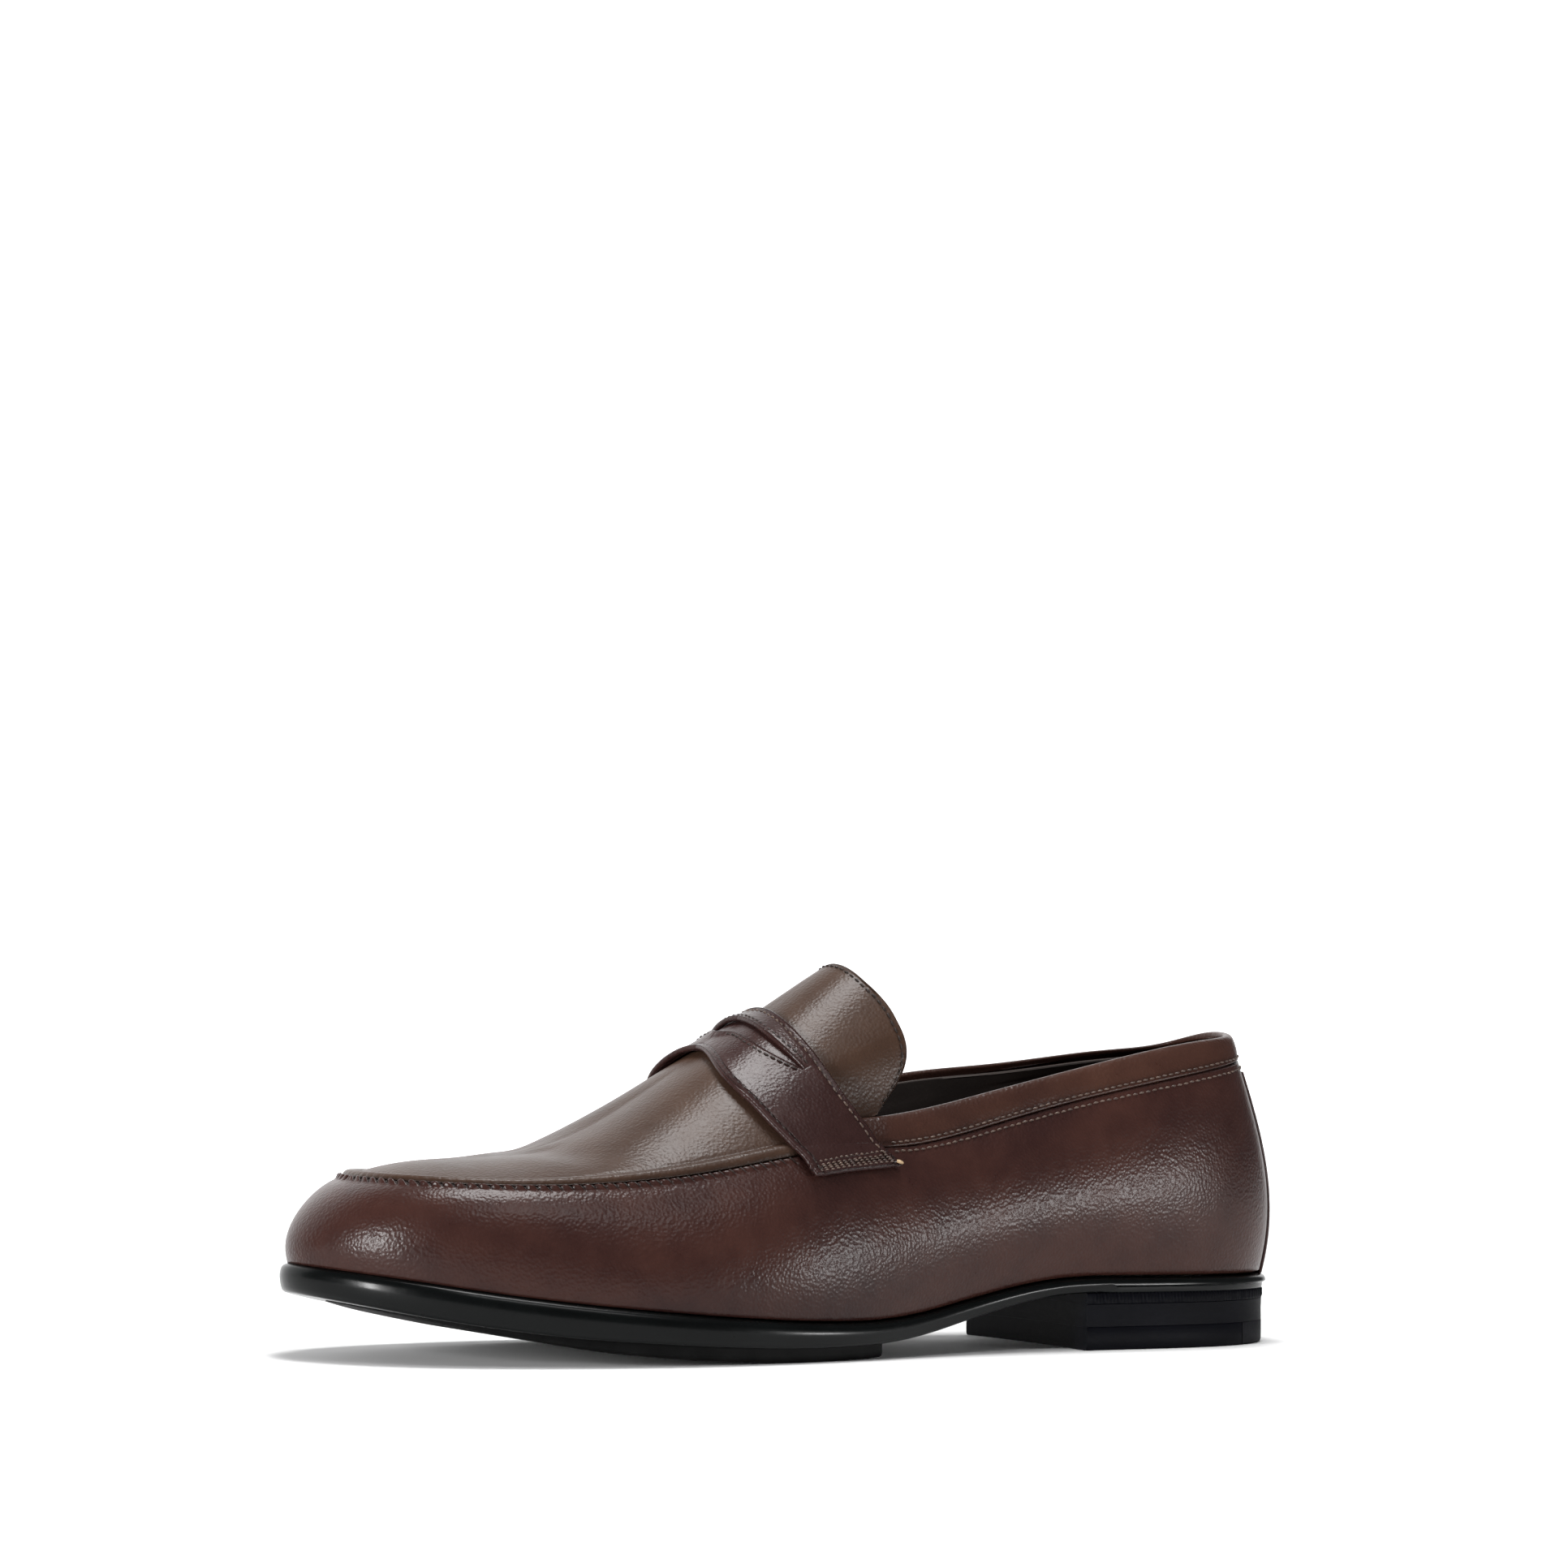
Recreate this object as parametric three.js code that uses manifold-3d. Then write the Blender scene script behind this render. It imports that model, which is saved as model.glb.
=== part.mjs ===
// Slip-on moccasin-toe shoe (left foot) with a slotted saddle strap, millimetres, +Z up, toe toward -X.
// Every leather layer is its own closed body, laid on one shared surface of the last at its own depth.
import * as THREE from 'three';
import Module from 'manifold-3d';

const wasm = await Module();
wasm.setup();

// ---- driving sizes ----
const LENGTH = 298;            // outsole, toe to heel
const BALL_WIDTH = 101;        // outsole at the ball
const WELT = 2.2;              // the upper's feather line stands this far inside the sole edge
const UPPER_THICK = 1.6;       // side wall and apron leather
const STIFF_THICK = 1.2;       // toe puff and heel counter
const LINING_THICK = 0.9;      // linings
const GAP = 0.3;               // clearance between neighbouring pieces
const STRAP_THICK = 1.6;
const STRAP_LIFT = 0.5;        // underside of the strap above the apron surface
const SLOT_HALF = 24;          // half length of the slot in the strap
const SLOT_WIDE = 4.5;           // opening of the slot at the centre
const BACK_GAP = 0.05;         // half opening of the back seam, in columns
const MARGIN = 9;              // lasting margin turned in under the insole
const BOARD_THICK = 2.0;
const SOCK_THICK = 1.2;
const PAD_THICK = 2.0;
const TREAD_THICK = 3.5;
const TREAD_TOE_SHARE = 0.25; // of the full thickness left at the toe tip
const TREAD_TAPER = 0.34; // of the length over which it thickens
const TREAD_INSET = 4;
const HEEL_LENGTH = 77;        // heel, from its back to its breast
const LIFT1_BOTTOM = 12.6;
const TOPLIFT_TOP = 6.2;
const BLOCK_TOP = LIFT1_BOTTOM - GAP;
const BLOCK_BOTTOM = TOPLIFT_TOP + GAP;
const NAIL_R = 1.1;
const THREAD_R = 0.42;
const COLS = 22;               // 0 heel back, 1..10 lateral, 11 toe tip, 12..21 medial

// outsole outline: share of length from the toe, share of half width (lateral negative)
const OUTLINE = [[1, 0], [0.968, -0.42], [0.888, -0.63], [0.785, -0.665], [0.677, -0.68],
  [0.572, -0.775], [0.468, -0.925], [0.364, -1], [0.262, -0.965], [0.16, -0.82], [0.062, -0.52],
  [0, 0.1], [0.056, 0.64], [0.152, 0.86], [0.256, 0.935], [0.36, 0.905], [0.464, 0.79],
  [0.57, 0.66], [0.677, 0.59], [0.785, 0.6], [0.888, 0.59], [0.968, 0.4]];
// moccasin seam, carried on under the strap and along the collar to the heel
const SEAM = [[0.956, 0], [0.936, -0.4], [0.865, -0.56], [0.758, -0.575], [0.65, -0.6],
  [0.545, -0.66], [0.443, -0.725], [0.349, -0.725], [0.255, -0.68], [0.16, -0.575],
  [0.087, -0.31], [0.064, 0.09], [0.085, 0.47], [0.154, 0.63], [0.252, 0.68], [0.346, 0.68],
  [0.44, 0.665], [0.545, 0.625], [0.65, 0.58], [0.758, 0.57], [0.865, 0.55], [0.936, 0.385]];
const SEAM_Z = [80.2, 79.5, 75.8, 69.7, 62.4, 56.2, 55.2, 50.8, 47.2, 45.8, 46.2, 46.4];
const TOPLINE = [[0.953, 0, 87], [0.932, -0.36, 86.2], [0.862, -0.485, 83.7],
  [0.758, -0.52, 77.7], [0.65, -0.55, 70.6], [0.545, -0.59, 64.3], [0.443, -0.66, 60.7]];
const MEDIAL_DROP = [0, 3, 3, 0.7, -3, -3, -2];
const BULGE_LOW = [5, 6, 6, 6.5, 7.5, 6, 4.5, 3.5, 2.5, 1.5, 2.5, 4];
const BULGE_HIGH = [6.5, 6.5, 7, 8, 9, 9.5, 9.5, 9.5, 9, 9, 10, 11];
const DROP_HIGH = [20, 20, 20, 18, 16, 13, 11, 9, 7, 4, 2.5, 2];
const RIDGE_X = [292, 266, 240, 214, 188, 162, 135, 110, 84, 62, 48, 42];
const RIDGE_Z = [166.2, 154.2, 142.2, 130.2, 118.2, 106.2, 89.2, 74.3, 59.2, 52.5, 51.2, 50.8];
const SOLE_TOP = [[0, 24.7], [20, 21.8], [40, 18.6], [60, 16.1], [80, 14.1], [100, 12.3], [120, 10.8],
  [140, 10], [152, 10.2], [165, 11.5], [180, 14.4], [195, 17.2], [208, 19.2],
  [220, 20], [250, 19.7], [298, 19.2]];
const SOLE_EDGE = [[0, 7.6], [25, 9], [60, 8.9], [90, 8], [120, 7], [140, 6.2], [170, 5.6],
  [200, 4.4], [298, 3.8]];

// ---- small vector helpers ----
const add = (a, b) => a.map((x, k) => x + b[k]);
const sub = (a, b) => a.map((x, k) => x - b[k]);
const mul = (a, s) => a.map((x) => x * s);
const mix = (a, b, t) => a.map((x, k) => x + (b[k] - x) * t);
const cross = (a, b) => [a[1] * b[2] - a[2] * b[1], a[2] * b[0] - a[0] * b[2], a[0] * b[1] - a[1] * b[0]];
const size = (a) => Math.hypot(...a);
const unit = (a) => mul(a, 1 / (size(a) || 1));
const clamp = (x, lo, hi) => Math.min(hi, Math.max(lo, x));
const smooth = (x) => {
  const t = clamp(x, 0, 1);
  return t * t * (3 - 2 * t);
};
const steps = (a, b, n) => Array.from({ length: n + 1 }, (_, k) => a + (b - a) * k / n);
const mirrorRows = (v) => [...v, ...v.slice(1, -1).reverse()];

// straight-line reading of a table, rounded by averaging close by
function reading(table, x) {
  const at = (q) => {
    let k = 0;
    while (k < table.length - 2 && q > table[k + 1][0]) k += 1;
    const t = (q - table[k][0]) / (table[k + 1][0] - table[k][0]);
    return table[k][1] + (table[k + 1][1] - table[k][1]) * clamp(t, -0.5, 1.5);
  };
  let sum = 0;
  for (const d of [-6, -3, 0, 3, 6]) sum += at(x + d * LENGTH / 298);
  return sum / 5;
}
const soleTop = (x) => reading(SOLE_TOP, x * 298 / LENGTH);
const soleEdge = (x) => reading(SOLE_EDGE, x * 298 / LENGTH);

// closed cubic B-spline through the given points
function controls(points) {
  const n = points.length;
  let p = points.map((q) => [...q]);
  for (let round = 0; round < 60; round += 1) {
    p = p.map((_, k) => mul(sub(sub(mul(points[k], 6), p[(k + n - 1) % n]), p[(k + 1) % n]), 0.25));
  }
  return p;
}
function along(p, at) {
  const n = p.length;
  const u = ((at % n) + n) % n;
  const k = Math.floor(u);
  const t = u - k;
  const w = [(1 - t) ** 3, 3 * t ** 3 - 6 * t * t + 4, -3 * t ** 3 + 3 * t * t + 3 * t + 1, t ** 3];
  return [-1, 0, 1, 2].map((d, j) => mul(p[(k + d + n) % n], w[j] / 6)).reduce(add);
}
const scaled = (rows, z) => rows.map((r, k) => [r[0] * LENGTH, r[1] * BALL_WIDTH / 2, z ? z[k] : 0]);
const outlineP = controls(scaled(OUTLINE));
const seamP = controls(scaled(SEAM, mirrorRows(SEAM_Z)));
const bulgeP = controls(mirrorRows(BULGE_LOW.map((b, k) => [b, BULGE_HIGH[k], DROP_HIGH[k]])));
const ridgeP = controls(mirrorRows(RIDGE_X.map((x, k) => [x * LENGTH / 298, 0, RIDGE_Z[k]])));
const toplineP = controls(Array.from({ length: COLS }, (_, i) => {
  const k = i <= 11 ? i : COLS - i;
  const side = i <= 11 ? 1 : -1;
  const row = TOPLINE[Math.min(k, 6)];
  if (k > 6) return [SEAM[k][0] * LENGTH, side * SEAM[k][1] * 0.45 * BALL_WIDTH, SEAM_Z[k] + 3];
  const drop = side < 0 ? MEDIAL_DROP[k] : 0;
  return [row[0] * LENGTH, side * row[1] * BALL_WIDTH / 2, row[2] - drop];
}));

const outline = (u) => along(outlineP, u);
const seam = (u) => along(seamP, u);
const topline = (u) => along(toplineP, u);
function outward(u) {
  const d = sub(outline(u + 0.001), outline(u - 0.001));
  return unit([-d[1], d[0], 0]);
}
function feather(u) {
  const p = sub(outline(u), mul(outward(u), WELT));
  return [p[0], p[1], soleTop(p[0])];
}
function wall(u, v) {
  const f = feather(u);
  const t = seam(u);
  const n = outward(u);
  const b = along(bulgeP, u);
  const p1 = add(add(f, [0, 0, (t[2] - f[2]) * 0.36]), mul(n, b[0]));
  const p2 = add(sub(t, [0, 0, b[2]]), mul(n, b[1]));
  const w = [(1 - v) ** 3, 3 * (1 - v) ** 2 * v, 3 * (1 - v) * v * v, v ** 3];
  return [f, p1, p2, t].map((p, k) => mul(p, w[k])).reduce(add);
}
function ridge(u) {
  const p = along(ridgeP, u);
  return [p[0], 4.5 - 2.5 * clamp(p[0] / 160, 0, 1), p[2]];
}
function apron(u, v) {
  const t = seam(u);
  const r = ridge(u);
  const d = sub(r, t);
  const p1 = add(t, [d[0] * 0.22, d[1] * 0.22, d[2] * 0.42]);
  const p2 = sub(r, [d[0] * 0.5, d[1] * 0.5, 0]);
  const w = [(1 - v) ** 3, 3 * (1 - v) ** 2 * v, 3 * (1 - v) * v * v, v ** 3];
  return [t, p1, p2, r].map((p, k) => mul(p, w[k])).reduce(add);
}
// outer face of the upper: w 0..1 up the side wall, 1..2 from the seam to the ridge
const upper = (u, w) => (w <= 1 ? wall(u, w) : apron(u, clamp(w - 1, 0, 1)));
function faceNormal(u, w) {
  const du = sub(upper(u + 0.002, w), upper(u - 0.002, w));
  const lo = w > 1 ? Math.max(w - 0.004, 1) : Math.max(w - 0.004, 0);
  const hi = w > 1 ? Math.min(w + 0.004, 2) : Math.min(w + 0.004, 1);
  return unit(cross(sub(upper(u, hi), upper(u, lo)), du));
}
const lifted = (u, w, h) => add(upper(u, w), mul(faceNormal(u, w), h));

// ---- solids ----
// A patch is rows of points; patches that share points are stitched, then given a thickness.
class Skin {
  constructor() {
    this.points = [];
    this.faces = [];
    this.keys = new Map();
  }

  vertex(p) {
    const key = p.map((x) => Math.round(x * 2000)).join(' ');
    if (!this.keys.has(key)) {
      this.keys.set(key, this.points.length);
      this.points.push(p);
    }
    return this.keys.get(key);
  }

  face(a, b, c) {
    if (a !== b && b !== c && c !== a) this.faces.push([a, b, c]);
  }

  patch(rows, flip = false) {
    const id = rows.map((row) => row.map((p) => this.vertex(p)));
    for (let r = 0; r + 1 < id.length; r += 1) {
      for (let c = 0; c + 1 < id[r].length; c += 1) {
        const [a, b, d, e] = [id[r][c], id[r][c + 1], id[r + 1][c + 1], id[r + 1][c]];
        const tris = [[a, b, d], [a, d, e]];
        for (const t of tris) this.face(...(flip ? [...t].reverse() : t));
      }
    }
    return this;
  }

  normals() {
    const n = this.points.map(() => [0, 0, 0]);
    for (const f of this.faces) {
      const [a, b, c] = f.map((k) => this.points[k]);
      const m = cross(sub(b, a), sub(c, a));
      for (const k of f) n[k] = add(n[k], m);
    }
    return n.map(unit);
  }

  // closed body between two offsets along the face normals
  solid(outer, inner) {
    const n = this.normals();
    const top = this.points.map((p, k) => add(p, mul(n[k], outer)));
    const low = this.points.map((p, k) => add(p, mul(n[k], inner)));
    const total = this.points.length;
    const tris = [];
    const edges = new Map();
    for (const [a, b, c] of this.faces) {
      tris.push([a, b, c], [total + a, total + c, total + b]);
      for (const [p, q] of [[a, b], [b, c], [c, a]]) edges.set(`${p} ${q}`, [p, q]);
    }
    for (const [p, q] of edges.values()) {
      if (!edges.has(`${q} ${p}`)) tris.push([q, p, total + p], [q, total + p, total + q]);
    }
    return { points: [...top, ...low], tris };
  }
}

// rings of equal length joined in order, ends capped by strips between paired columns
function loft(rings) {
  const n = rings[0].length;
  const tris = [];
  rings.slice(0, -1).forEach((_, r) => {
    for (let k = 0; k < n; k += 1) {
      const a = r * n + k;
      const b = r * n + (k + 1) % n;
      tris.push([a, b, b + n], [a, b + n, a + n]);
    }
  });
  const last = (rings.length - 1) * n;
  for (let k = 0; k < n / 2; k += 1) {
    const [a, b] = [k, k + 1];
    const [d, e] = [(n - k) % n, n - k - 1];
    for (const t of [[a, b, e], [a, e, d]]) {
      if (t[0] === t[1] || t[1] === t[2] || t[0] === t[2]) continue;
      tris.push([t[0], t[2], t[1]]);
      tris.push(t.map((x) => x + last));
    }
  }
  return { points: rings.flat(), tris };
}

function volume({ points, tris }) {
  return tris.reduce((s, [a, b, c]) => {
    const m = cross(points[b], points[c]);
    return s + (points[a][0] * m[0] + points[a][1] * m[1] + points[a][2] * m[2]) / 6;
  }, 0);
}
function outFacing(body) {
  if (volume(body) > 0) return body;
  return { points: body.points, tris: body.tris.map(([a, b, c]) => [a, c, b]) };
}
function toManifold(body) {
  const { points, tris } = outFacing(body);
  return new wasm.Manifold(new wasm.Mesh({
    numProp: 3,
    vertProperties: new Float32Array(points.flat()),
    triVerts: new Uint32Array(tris.flat()),
  }));
}
function fromManifold(m) {
  const mesh = m.getMesh();
  const points = [];
  for (let k = 0; k < mesh.vertProperties.length; k += mesh.numProp) {
    points.push([...mesh.vertProperties.slice(k, k + 3)]);
  }
  const tris = [];
  for (let k = 0; k < mesh.triVerts.length; k += 3) tris.push([...mesh.triVerts.slice(k, k + 3)]);
  return { points, tris };
}

const group = new THREE.Group();
group.name = 'penny_loafer';
function piece(name, body, colour, roughness) {
  const { points, tris } = outFacing(body);
  const geometry = new THREE.BufferGeometry();
  geometry.setAttribute('position', new THREE.Float32BufferAttribute(points.flat(), 3));
  geometry.setIndex(tris.flat());
  geometry.computeVertexNormals();
  const material = new THREE.MeshStandardMaterial({ color: colour, roughness, metalness: 0 });
  const mesh = new THREE.Mesh(geometry, material);
  mesh.name = name;
  group.add(mesh);
}

// ---- upper ----
// every layer is laid on these columns and heights, so neighbours stay parallel
const SIDE_COLS = [0.33, 0.66, 1.05, 1.5, 2.2, 2.8, 3.4, 4, 4.6, 5.2, 5.8, 6.4, 7, 7.6, 8.2, 8.8,
  9.3, 9.7, 10.05, 10.4, 10.7, 11];
const WALL_ROWS = [0.07, 0.18, 0.32, 0.46, 0.6, 0.74, 0.86, 0.98];
const ROUND_COLS = [...SIDE_COLS.slice().reverse().map((u) => -u), 0, ...SIDE_COLS];
const columns = (lo, hi) => ROUND_COLS.filter((u) => u >= lo - 1e-6 && u <= hi + 1e-6);
const toeColumns = (lo) => bothSides(SIDE_COLS.filter((u) => u >= lo - 1e-6));
const bothSides = (cols) => [...cols, ...cols.slice(0, -1).reverse().map((u) => COLS - u)];

// one column of the side wall: lasting margin, rounded feather edge, then up to the seam
function wallColumn(u) {
  const f = feather(u);
  const n = outward(u);
  const turned = [MARGIN, 6, 3.4].map((d) => {
    const p = sub(f, mul(n, d));
    return [p[0], p[1], soleTop(p[0]) + GAP];
  });
  const round = add(sub(f, mul(n, 0.9)), [0, 0, GAP + 0.55]);
  return [...turned, round, ...WALL_ROWS.map((v) => wall(u, v))];
}
function makeWall() {
  return new Skin().patch(bothSides([BACK_GAP, ...SIDE_COLS]).map(wallColumn)).solid(0, -UPPER_THICK);
}

// height of the rolled apron edge above the plain surface
const BEAD_RISE = 1.3;
function bead(u, w) {
  const clearOfStrap = smooth((Math.min(u, COLS - u) - 6.5) / 0.6);
  return BEAD_RISE * Math.exp(-(((w - 1.055) / 0.05) ** 2)) * clearOfStrap;
}
const APRON_BACK = 5.98;
const APRON_ROWS = [1.02, 1.05, 1.1, 1.18, 1.34, 1.55, 1.78, 2];
function crownSkin(back, rows, rise) {
  const at = (u, w) => (w >= 2 ? upper(Math.min(u, COLS - u), 2) : lifted(u, w, rise(u, w)));
  const cols = [back, ...SIDE_COLS.filter((u) => u > back + 0.1)];
  const skin = new Skin();
  skin.patch(cols.map((u) => rows.map((w) => at(u, w))));
  skin.patch(cols.map((u) => rows.map((w) => at(COLS - u, w))), true);
  return skin;
}
const makeApron = () => crownSkin(APRON_BACK, APRON_ROWS, bead).solid(0, -UPPER_THICK);

const LINING_TOP = UPPER_THICK + STIFF_THICK + 2 * GAP;
const makeVampLining = () => crownSkin(APRON_BACK, APRON_ROWS.slice(2), () => 0)
  .solid(-UPPER_THICK - GAP, -UPPER_THICK - GAP - LINING_THICK);

const wallPatch = (cols, rows) => new Skin().patch(cols.map((u) => rows.map((v) => wall(u, v))));
const makeToePuff = () => wallPatch(toeColumns(8.8), WALL_ROWS.slice(1, -1))
  .solid(-UPPER_THICK - GAP, -UPPER_THICK - GAP - STIFF_THICK);
const makeCounter = () => wallPatch(columns(-2.8, 2.8), WALL_ROWS.slice(1, -1))
  .solid(-UPPER_THICK - GAP, -UPPER_THICK - GAP - STIFF_THICK);
const makeToeLining = () => wallPatch(toeColumns(6.4), WALL_ROWS.slice(1, -1))
  .solid(-LINING_TOP, -LINING_TOP - LINING_THICK);

// collar: a strip from the seam groove up to the topline, folded over the edge
const COLLAR_END = 5.28;
const COLLAR_DEPTH = 2.3;        // folded strip, two thicknesses
function collarColumn(u) {
  const s = seam(u);
  const c = topline(u);
  const n = outward(u);
  const low = add(mix(s, c, 0.02), mul(n, 0.05));
  const mid = add(mix(s, c, 0.5), mul(n, 0.7));
  const high = add(mix(s, c, 0.88), mul(n, 0.35));
  return [low, mix(low, mid, 0.5), mid, high, c];
}
function makeCollar() {
  const rows = columns(-COLLAR_END, COLLAR_END).map(collarColumn);
  return new Skin().patch(rows).solid(0.2, -COLLAR_DEPTH);
}
// quarter lining: from the insole up behind the counter to just under the collar's top edge
function quarterLiningColumn(u) {
  const n = outward(u);
  const s = add(seam(u), mul(n, -COLLAR_DEPTH - GAP - 0.15));
  const c = add(topline(u), add(mul(n, -COLLAR_DEPTH - GAP - 0.05), [0, 0, -2.2]));
  const low = WALL_ROWS.slice(1, -1).map((v) => lifted(u, v, -LINING_TOP));
  return [...low, s, mix(s, c, 0.5), c];
}
const makeQuarterLining = () => new Skin()
  .patch(columns(-5.8, 5.8).map(quarterLiningColumn)).solid(0, -LINING_THICK);
const makeHeelGrip = () => new Skin()
  .patch(columns(-1.5, 1.5).map((u) => quarterLiningColumn(u).slice(2)))
  .solid(-LINING_THICK - GAP, -LINING_THICK - GAP - 0.8);
const BACKSTAY_ROWS = [0.05, 0.18, 0.32, 0.46, 0.6, 0.74, 0.86, 0.91];
const makeBackstay = () => new Skin()
  .patch(columns(-0.66, 0.66).map((u) => BACKSTAY_ROWS.map((v) => wall(u, v))))
  .solid(GAP + 1.1, GAP);

// ---- saddle strap ----
// edges as (column, height) pairs from the lateral end over the ridge
const STRAP_FRONT = [[6.2, 0.8], [6.28, 0.98], [6.52, 1.25], [6.74, 1.6], [6.69, 2]];
const STRAP_REAR = [[5.22, 0.86], [5.42, 1.06], [5.67, 1.3], [5.87, 1.65], [5.92, 2]];
function edgePoint(edge, s) {
  const t = (1 - Math.abs(s)) * (edge.length - 1);
  const k = Math.min(Math.floor(t), edge.length - 2);
  const p = edge[Math.max(k - 1, 0)];
  const [a, b] = [edge[k], edge[k + 1]];
  const q = edge[Math.min(k + 2, edge.length - 1)];
  const f = t - k;
  const tangent = (m, n, c) => mul(sub(n, m), c);
  const m0 = tangent(p, b, k === 0 ? 1 : 0.5);
  const atRidge = k + 2 > edge.length - 1;
  const m1 = atRidge ? [0, b[1] - a[1]] : tangent(a, q, 0.5);
  const f2 = f * f;
  const f3 = f2 * f;
  const h = [2 * f3 - 3 * f2 + 1, f3 - 2 * f2 + f, -2 * f3 + 3 * f2, f3 - f2];
  return add(add(mul(a, h[0]), mul(m0, h[1])), add(mul(b, h[2]), mul(m1, h[3])));
}
function strapPoint(s, t) {
  const [u, w] = mix(edgePoint(STRAP_FRONT, s), edgePoint(STRAP_REAR, s), t);
  const side = s > 0 ? COLS - u : u;
  const height = clamp(w, 0, 2);
  const p = height >= 1.999 ? ridge(u) : upper(side, height);
  return p;
}
const strapReach = size(sub(strapPoint(0, 0.5), strapPoint(-0.5, 0.5)))
  + size(sub(strapPoint(-0.5, 0.5), strapPoint(-1, 0.5)));
const strapDepth = size(sub(strapPoint(0, 0), strapPoint(0, 1)));
const slotEnd = SLOT_HALF / strapReach;
const SLOT_MID = 0.56;           // slot across the strap at its centre, 0 front edge, 1 rear edge
const SLOT_SWEEP = 0.22;         // how much nearer the rear edge the slot's ends lie
function slotEdges(s) {
  const q = clamp(1 - (s / slotEnd) ** 2, 0, 1);
  const mid = SLOT_MID + SLOT_SWEEP * (s / slotEnd) ** 2;
  const open = SLOT_WIDE / strapDepth * q ** 0.8;
  if (Math.abs(s) >= slotEnd) return [SLOT_MID + SLOT_SWEEP, SLOT_MID + SLOT_SWEEP];
  return [mid - open * 0.42, mid + open * 0.58];
}
function strapSkin() {
  const inner = steps(-slotEnd, slotEnd, 12);
  const cols = [-1, -0.9, -0.78, -0.66, -0.55, ...inner, 0.55, 0.66, 0.78, 0.9, 1]
    .filter((s, k, all) => Math.abs(s) <= slotEnd + 1e-6 || Math.abs(s) > slotEnd + 0.03);
  const panel = (from, to, n) => cols.map((s) => {
    const e = slotEdges(Math.abs(s) > slotEnd - 1e-6 ? Math.sign(s) * slotEnd : s);
    const lo = from === 'front' ? 0 : e[1];
    const hi = to === 'rear' ? 1 : e[0];
    return steps(lo, hi, n).map((t) => strapPoint(s, t));
  });
  return new Skin().patch(panel('front', 'slot', 3)).patch(panel('slot', 'rear', 2));
}
const makeStrap = () => strapSkin().solid(STRAP_LIFT + STRAP_THICK, STRAP_LIFT);

// ---- tongue flap ----
const TONGUE_EDGE = [[5.18, 1.12], [4.83, 1.3], [4.87, 1.5], [5.05, 1.75], [5.11, 2]];
const TONGUE_ROOT = [[5.46, 1.12], [5.66, 1.32], [5.79, 1.52], [5.87, 1.77], [5.89, 2]];
// the flap's sides pass inside the collar
function tonguePoint(s, t) {
  const [u, w] = mix(edgePoint(TONGUE_ROOT, s), edgePoint(TONGUE_EDGE, s), t);
  const side = s > 0 ? COLS - u : u;
  if (w >= 1.999) return ridge(u);
  const p = upper(side, clamp(w, 1, 2));
  const tuck = 1 - smooth((w - 1.1) / 0.35);
  return add(p, [0, -Math.sign(p[1]) * 5.5 * tuck, 0]);
}
function tongueSkin(reach, from, count) {
  const cols = steps(-reach, reach, count);
  const rows = steps(from, 1 - (1 - reach) * 0.3, 5);
  return new Skin().patch(cols.map((s) => rows.map((t) => tonguePoint(s, t))));
}

// ---- bottom ----
const RING = steps(0, COLS, 44).slice(0, -1);
function ringAt(inset, height, cols = RING) {
  return cols.map((u) => {
    const p = sub(outline(u), mul(outward(u), typeof inset === 'function' ? inset(u) : inset));
    return [p[0], p[1], height(p[0], u)];
  });
}
const slab = (inset, low, high) => loft([ringAt(inset, low), ringAt(inset, high)]);
function makeMidsole() {
  const low = (share) => (x) => soleTop(x) - soleEdge(x) * share;
  return loft([
    ringAt(2.2, low(1)), ringAt(0.8, low(0.9)), ringAt(0, low(0.62)),
    ringAt(0, low(0.32)), ringAt(0.5, low(0.08)), ringAt(1.3, low(0)),
  ]);
}
const BOARD_LOW = UPPER_THICK + 2 * GAP + 0.25;
const makeBoard = () => slab(WELT + 5.6, (x) => soleTop(x) + BOARD_LOW,
  (x) => soleTop(x) + BOARD_LOW + BOARD_THICK);
const SOCK_LOW = BOARD_LOW + BOARD_THICK + GAP;
const sockRise = (x) => (PAD_THICK + GAP) * smooth((x - LENGTH * 0.6) / (LENGTH * 0.05));
const makeSock = () => slab(WELT + 6, (x) => soleTop(x) + SOCK_LOW + sockRise(x),
  (x) => soleTop(x) + SOCK_LOW + SOCK_THICK + sockRise(x));

// part of a ring behind or ahead of a line across the shoe
function sectionRing(cols, inset, height) {
  return cols.map((u) => {
    const p = sub(outline(u), mul(outward(u), inset));
    return [p[0], p[1], height(p[0])];
  });
}
// loft over an arc of columns whose two ends are joined straight across
function arcLoft(cols, levels) {
  const rings = levels.map(([inset, height]) => sectionRing(cols, inset, height));
  const n = cols.length;
  const tris = [];
  rings.slice(0, -1).forEach((_, r) => {
    for (let k = 0; k < n; k += 1) {
      const a = r * n + k;
      const b = r * n + (k + 1) % n;
      tris.push([a, b, b + n], [a, b + n, a + n]);
    }
  });
  const last = (rings.length - 1) * n;
  for (let k = 0; k < Math.floor(n / 2); k += 1) {
    const [a, b, d, e] = [k, k + 1, n - 1 - k, n - 2 - k];
    for (const t of [[a, b, e], [a, e, d]]) {
      if (new Set(t).size < 3) continue;
      tris.push([t[0], t[2], t[1]]);
      tris.push(t.map((x) => x + last));
    }
  }
  return { points: rings.flat(), tris };
}
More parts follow.
